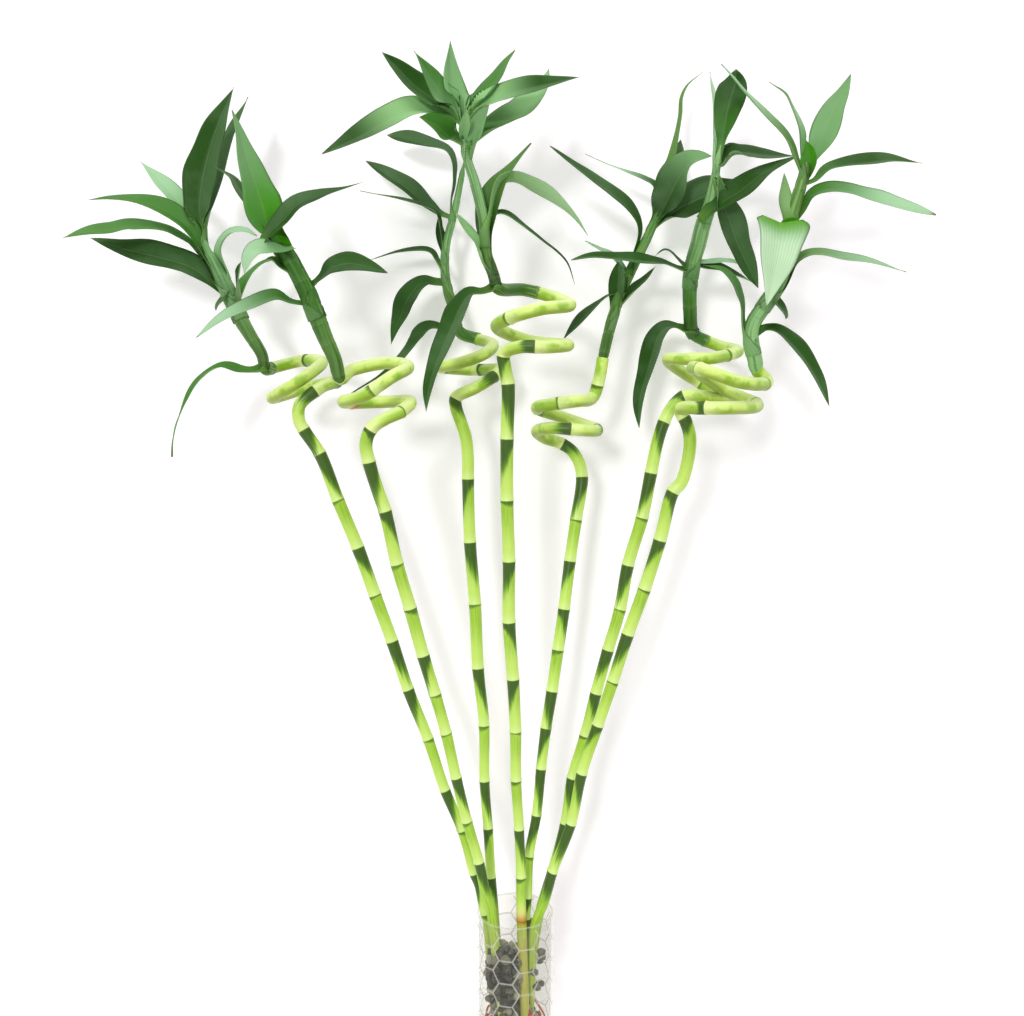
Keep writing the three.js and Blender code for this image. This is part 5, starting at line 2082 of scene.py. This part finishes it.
SHOOT_4 = Shoot(
    radius=4.1, tone=STALK, crown=SAP, top_depth=-30, widening=-0.05, foot_shade=1.0,
    stem=(
        (493, 272), (487, 258), (485, 243), (484, 222), (480, 203), (474, 180), (467, 158), (464, 137),
        (463, 116),
    ),
    leaves=(
        Leaf(22, 10, (50, 50), FRESH, ((462, 130), (457, 105), (452, 88), (450, 70), (450, 40))),
        Leaf(22, -14, (40, 45), FRESH, ((455, 118), (441, 95), (428, 74), (414, 51)), tip=MID),
        Leaf(25, -10, (45, 36), MID, ((456, 122), (430, 98), (413, 85), (397, 68), (382, 52)), tip=DEEP),
        Leaf(26, -30, (50, 35), SAP, ((456, 126), (430, 111), (412, 111), (388, 122), (362, 136),
             (345, 144), (322, 154)), tip=DEEP, change=(0.45, 0.8), base=0.3, belly=0.5),
        Leaf(24, -22, (30, 30), MID, ((460, 148), (448, 135), (435, 125), (419, 117))),
        Leaf(21, 20, (55, 50), MID, ((467, 122), (483, 97), (497, 78), (506, 62), (515, 50))),
        Leaf(22, -15, (48, 38), SAP, ((467, 120), (488, 103), (508, 95), (530, 89), (555, 83), (580, 77)),
             tip=DEEP, change=(0.35, 0.75)),
        Leaf(30, 30, (56, 46), MID, ((470, 150), (490, 131), (508, 121), (524, 112), (536, 98), (545, 82),
             (549, 68)), tip=SAP, belly=0.55),
        Leaf(20, -22, (40, 40), FRESH, ((469, 162), (474, 140), (481, 122), (489, 105))),
        Leaf(9, -26, (20, 20), SAP, ((466, 152), (464, 135), (465, 122), (466, 108)), belly=0.5),
        Leaf(22, 6, (24, 62), DEEP, ((487, 256), (487, 232), (491, 207), (499, 188), (510, 172),
             (520, 158), (531, 143)), tip=STALK, base=0.35, belly=0.42),
        Leaf(12, 14, (128, 135), STALK, ((487, 226), (494, 197), (503, 180), (516, 178), (532, 185),
             (550, 195), (566, 208), (577, 220), (588, 236)), tip=LIGHT, base=0.2, belly=0.5),
        Leaf(11, 20, (66, 66), DEEP, ((485, 216), (500, 211), (517, 222), (532, 233), (545, 243),
             (557, 252), (567, 263), (575, 285)), belly=0.3, point=0.7),
        Leaf(25, -20, (60, 40), DEEP, ((495, 292), (482, 290), (470, 294), (461, 307), (453, 325),
             (443, 348), (434, 370), (428, 392), (426, 412)), base=0.15, belly=0.35),
        Leaf(15, -25, (66, 62), SAP, ((487, 264), (478, 245), (465, 228), (455, 212))),
    ),
)

SHOOT_5 = Shoot(
    radius=4.3, tone=STALK, crown=MID, top_depth=45, widening=-0.05,
    stem=(
        (606, 344), (612, 320), (620, 295), (628, 277), (640, 252), (648, 236), (655, 220), (662, 200),
        (670, 178),
    ),
    leaves=(
        Leaf(19, -15, (62, 52), DEEP, ((642, 256), (640, 238), (637, 222), (627, 207), (612, 194),
             (593, 180), (572, 164), (550, 146)), base=0.12, belly=0.48),
        Leaf(17, 30, (50, 64), DEEP, ((658, 202), (655, 187), (644, 179), (625, 171), (605, 163),
             (585, 154)), tip=PALE, belly=0.15, base=0.8, point=0.5),
        Leaf(11, 20, (58, 60), STALK, ((668, 188), (673, 160), (677, 140), (681, 115), (682, 98),
             (688, 85), (703, 72)), belly=0.25, point=0.8),
        Leaf(18, 30, (40, 40), DEEP, ((668, 190), (675, 165), (681, 140))),
        Leaf(28, -35, (10, 52), DEEP, ((659, 222), (667, 201), (679, 178), (691, 163), (712, 156)),
             tip=FRESH, change=(0.45, 0.9), base=0.5, belly=0.5, point=2.2),
        Leaf(31, -8, (35, 25), DEEP, ((660, 222), (680, 208), (703, 197), (722, 190), (738, 180)),
             base=0.35, belly=0.5, point=2.2),
        Leaf(13, -10, (65, 60), PALE, ((632, 272), (612, 256), (600, 250), (585, 241))),
        Leaf(14, -20, (70, 66), DEEP, ((624, 286), (610, 292), (600, 302), (585, 316), (561, 342)),
             base=0.2, belly=0.6),
        Leaf(14, -15, (65, 62), DEEP, ((622, 302), (645, 280), (656, 266))),
        Leaf(15, -6, (40, 40), DEEP, ((612, 310), (617, 292), (619, 276), (618, 262)), base=0.9, point=3),
    ),
)

SHOOT_6 = Shoot(
    radius=5.6, tone=MID, crown=SAP, top_depth=-5, widening=0.12, foot_shade=1.0,
    stem=(
        (690, 310), (690, 285), (693, 262), (698, 245), (703, 225), (710, 205), (714, 185), (717, 165),
        (721, 145),
    ),
    leaves=(
        Leaf(21, 5, (15, 15), MID, ((719, 168), (722, 138), (727, 113), (731, 97), (735, 84), (736, 69)),
             tip=DEEP, base=0.35, belly=0.7, point=2.0),
        Leaf(18, 30, (65, 62), PALE, ((717, 180), (714, 140), (713, 100), (710, 72))),
        Leaf(20, 20, (55, 50), DEEP, ((717, 178), (721, 163), (731, 154), (746, 153), (762, 155),
             (780, 156), (797, 156)), base=0.5, belly=0.35),
        Leaf(27, 12, (45, 25), DEEP, ((714, 188), (722, 202), (729, 220), (737, 243), (747, 265),
             (758, 288)), base=0.5, belly=0.5),
        Leaf(22, -4, (50, 42), DEEP, ((701, 221, -8), (710, 211, -10), (722, 203, -12), (742, 190, -9),
             (765, 172, -4), (797, 156)), base=0.5, belly=0.4, tuck=0),
        Leaf(14, 25, (65, 65), DEEP, ((695, 262), (710, 266), (728, 273), (745, 279), (756, 284))),
        Leaf(10, 22, (66, 66), PALE, ((697, 262), (716, 261), (735, 263), (753, 269))),
        Leaf(21, -22, (60, 44), DEEP, ((690, 328), (679, 324), (667, 327), (658, 338), (653, 354),
             (648, 371), (642, 390), (639, 408), (639, 428)), base=0.15, belly=0.38),
        Leaf(7, -10, (60, 60), DEEP, ((691, 268), (678, 255), (665, 250), (655, 256))),
        Leaf(16, -40, (62, 54), DEEP, ((694, 270), (668, 264), (640, 261), (610, 258), (590, 257),
             (571, 260)), belly=0.5),
    ),
)

SHOOT_7 = Shoot(
    radius=5.6, tone=SAP, crown=STALK, top_depth=-45, widening=0.05, tip_radius=3.4, foot_shade=0.05,
    stem=(
        (755, 360), (751, 340), (753, 324), (762, 309), (771, 296), (779, 281), (786, 260), (788, 240),
        (792, 215), (798, 195), (804, 175), (809, 152),
    ),
    leaves=(
        Leaf(19, -10, (22, 28), FRESH, ((811, 172), (818, 148), (827, 126), (834, 109), (843, 93),
             (851, 74)), base=0.6),
        Leaf(13, -15, (30, 30), BRIGHT, ((805, 184), (808, 168), (809, 152), (806, 140)), base=0.7),
        Leaf(13, 15, (65, 62), FRESH, ((806, 160), (802, 140), (797, 122), (791, 106), (785, 94),
             (769, 82)), tip=PALE),
        Leaf(18, 15, (64, 50), MID, ((804, 186), (815, 177), (827, 170), (845, 166), (870, 163),
             (890, 161), (922, 163)), tip=DEEP, change=(0.2, 0.55), base=0.12, belly=0.5),
        Leaf(21, -20, (62, 46), MID, ((793, 220), (801, 207), (811, 195), (828, 190), (848, 192),
             (867, 198), (890, 204), (936, 215)), tip=PALE, base=0.2, belly=0.62),
        Leaf(36, -46, (8, -2), BRIGHT, ((781, 223, -12), (781, 233, -14), (778, 252, -16),
             (774, 272, -16), (770, 290, -16), (766, 307, -16)), tip=LIGHT, change=(0.0, 0.3), belly=0.12,
             base=0.72, point=1.15, tuck=0),
        Leaf(20, 0, (4, 4), BRIGHT, ((790, 240), (788, 231, -6), (784, 221, -12)), belly=0.5, base=0.9,
             point=4),
        Leaf(15, -15, (66, 58), STALK, ((777, 290), (786, 275), (796, 262), (808, 255), (820, 254),
             (842, 258), (866, 261), (906, 272)), tip=PALE, base=0.3),
        Leaf(21, -20, (58, 44), DEEP, ((755, 333), (763, 326), (773, 328), (789, 342), (804, 359),
             (815, 376), (822, 390), (829, 406)), base=0.2, belly=0.45),
        Leaf(14, -15, (50, 50), DEEP, ((774, 292), (783, 308), (786, 319))),
        Leaf(11, 5, (140, 140), STALK, ((790, 222), (785, 196), (784, 172))),
        Leaf(15, -15, (64, 58), MID, ((752, 332), (744, 312), (738, 295), (733, 282), (722, 270),
             (703, 265))),
        Leaf(15, 10, (60, 60), STALK, ((802, 176), (793, 151), (783, 135), (766, 117), (744, 92),
             (733, 78), (721, 64)), tip=PALE, belly=0.35),
    ),
)

SHOOTS = (SHOOT_1, SHOOT_2, SHOOT_3, SHOOT_4, SHOOT_5, SHOOT_6, SHOOT_7)


def main() -> None:
    """Builds the camera, the studio, the vase with what it holds, and the seven plants."""
    logging.basicConfig(level=logging.INFO, format="%(name)s: %(message)s")
    view = View()
    view.add_camera()
    bpy.context.scene.view_settings.view_transform = "Standard"
    Studio().build()
    # In each clear finish the second colour and the next three numbers are the painted glow that stands in
    # for light on edges, ribs and rim.
    Vase().build(ClearFinish("clear_glass", "#FBFBF9", "#C2C2B7", 0.04, 0.5, 0.55, 1.15).material())
    Water().build(ClearFinish("still_water", "#FDFEFD", "#D6DAD2", 0.005, 0.04, 0, 1.06).material())
    PebbleBed().build(PebbleFinish().material())
    plants = [Plant(i + 1, cane, shoot, view) for i, (cane, shoot) in enumerate(zip(CANES, SHOOTS))]
    Roots().build(plants, RootFinish().material())
    cane_skin = CaneFinish().material()
    stem_skin = StemFinish().material()
    blade = LeafFinish().material()
    for plant in plants:
        plant.build_cane(cane_skin)
        plant.build_shoot(stem_skin, blade)


if __name__ == "__main__":
    main()
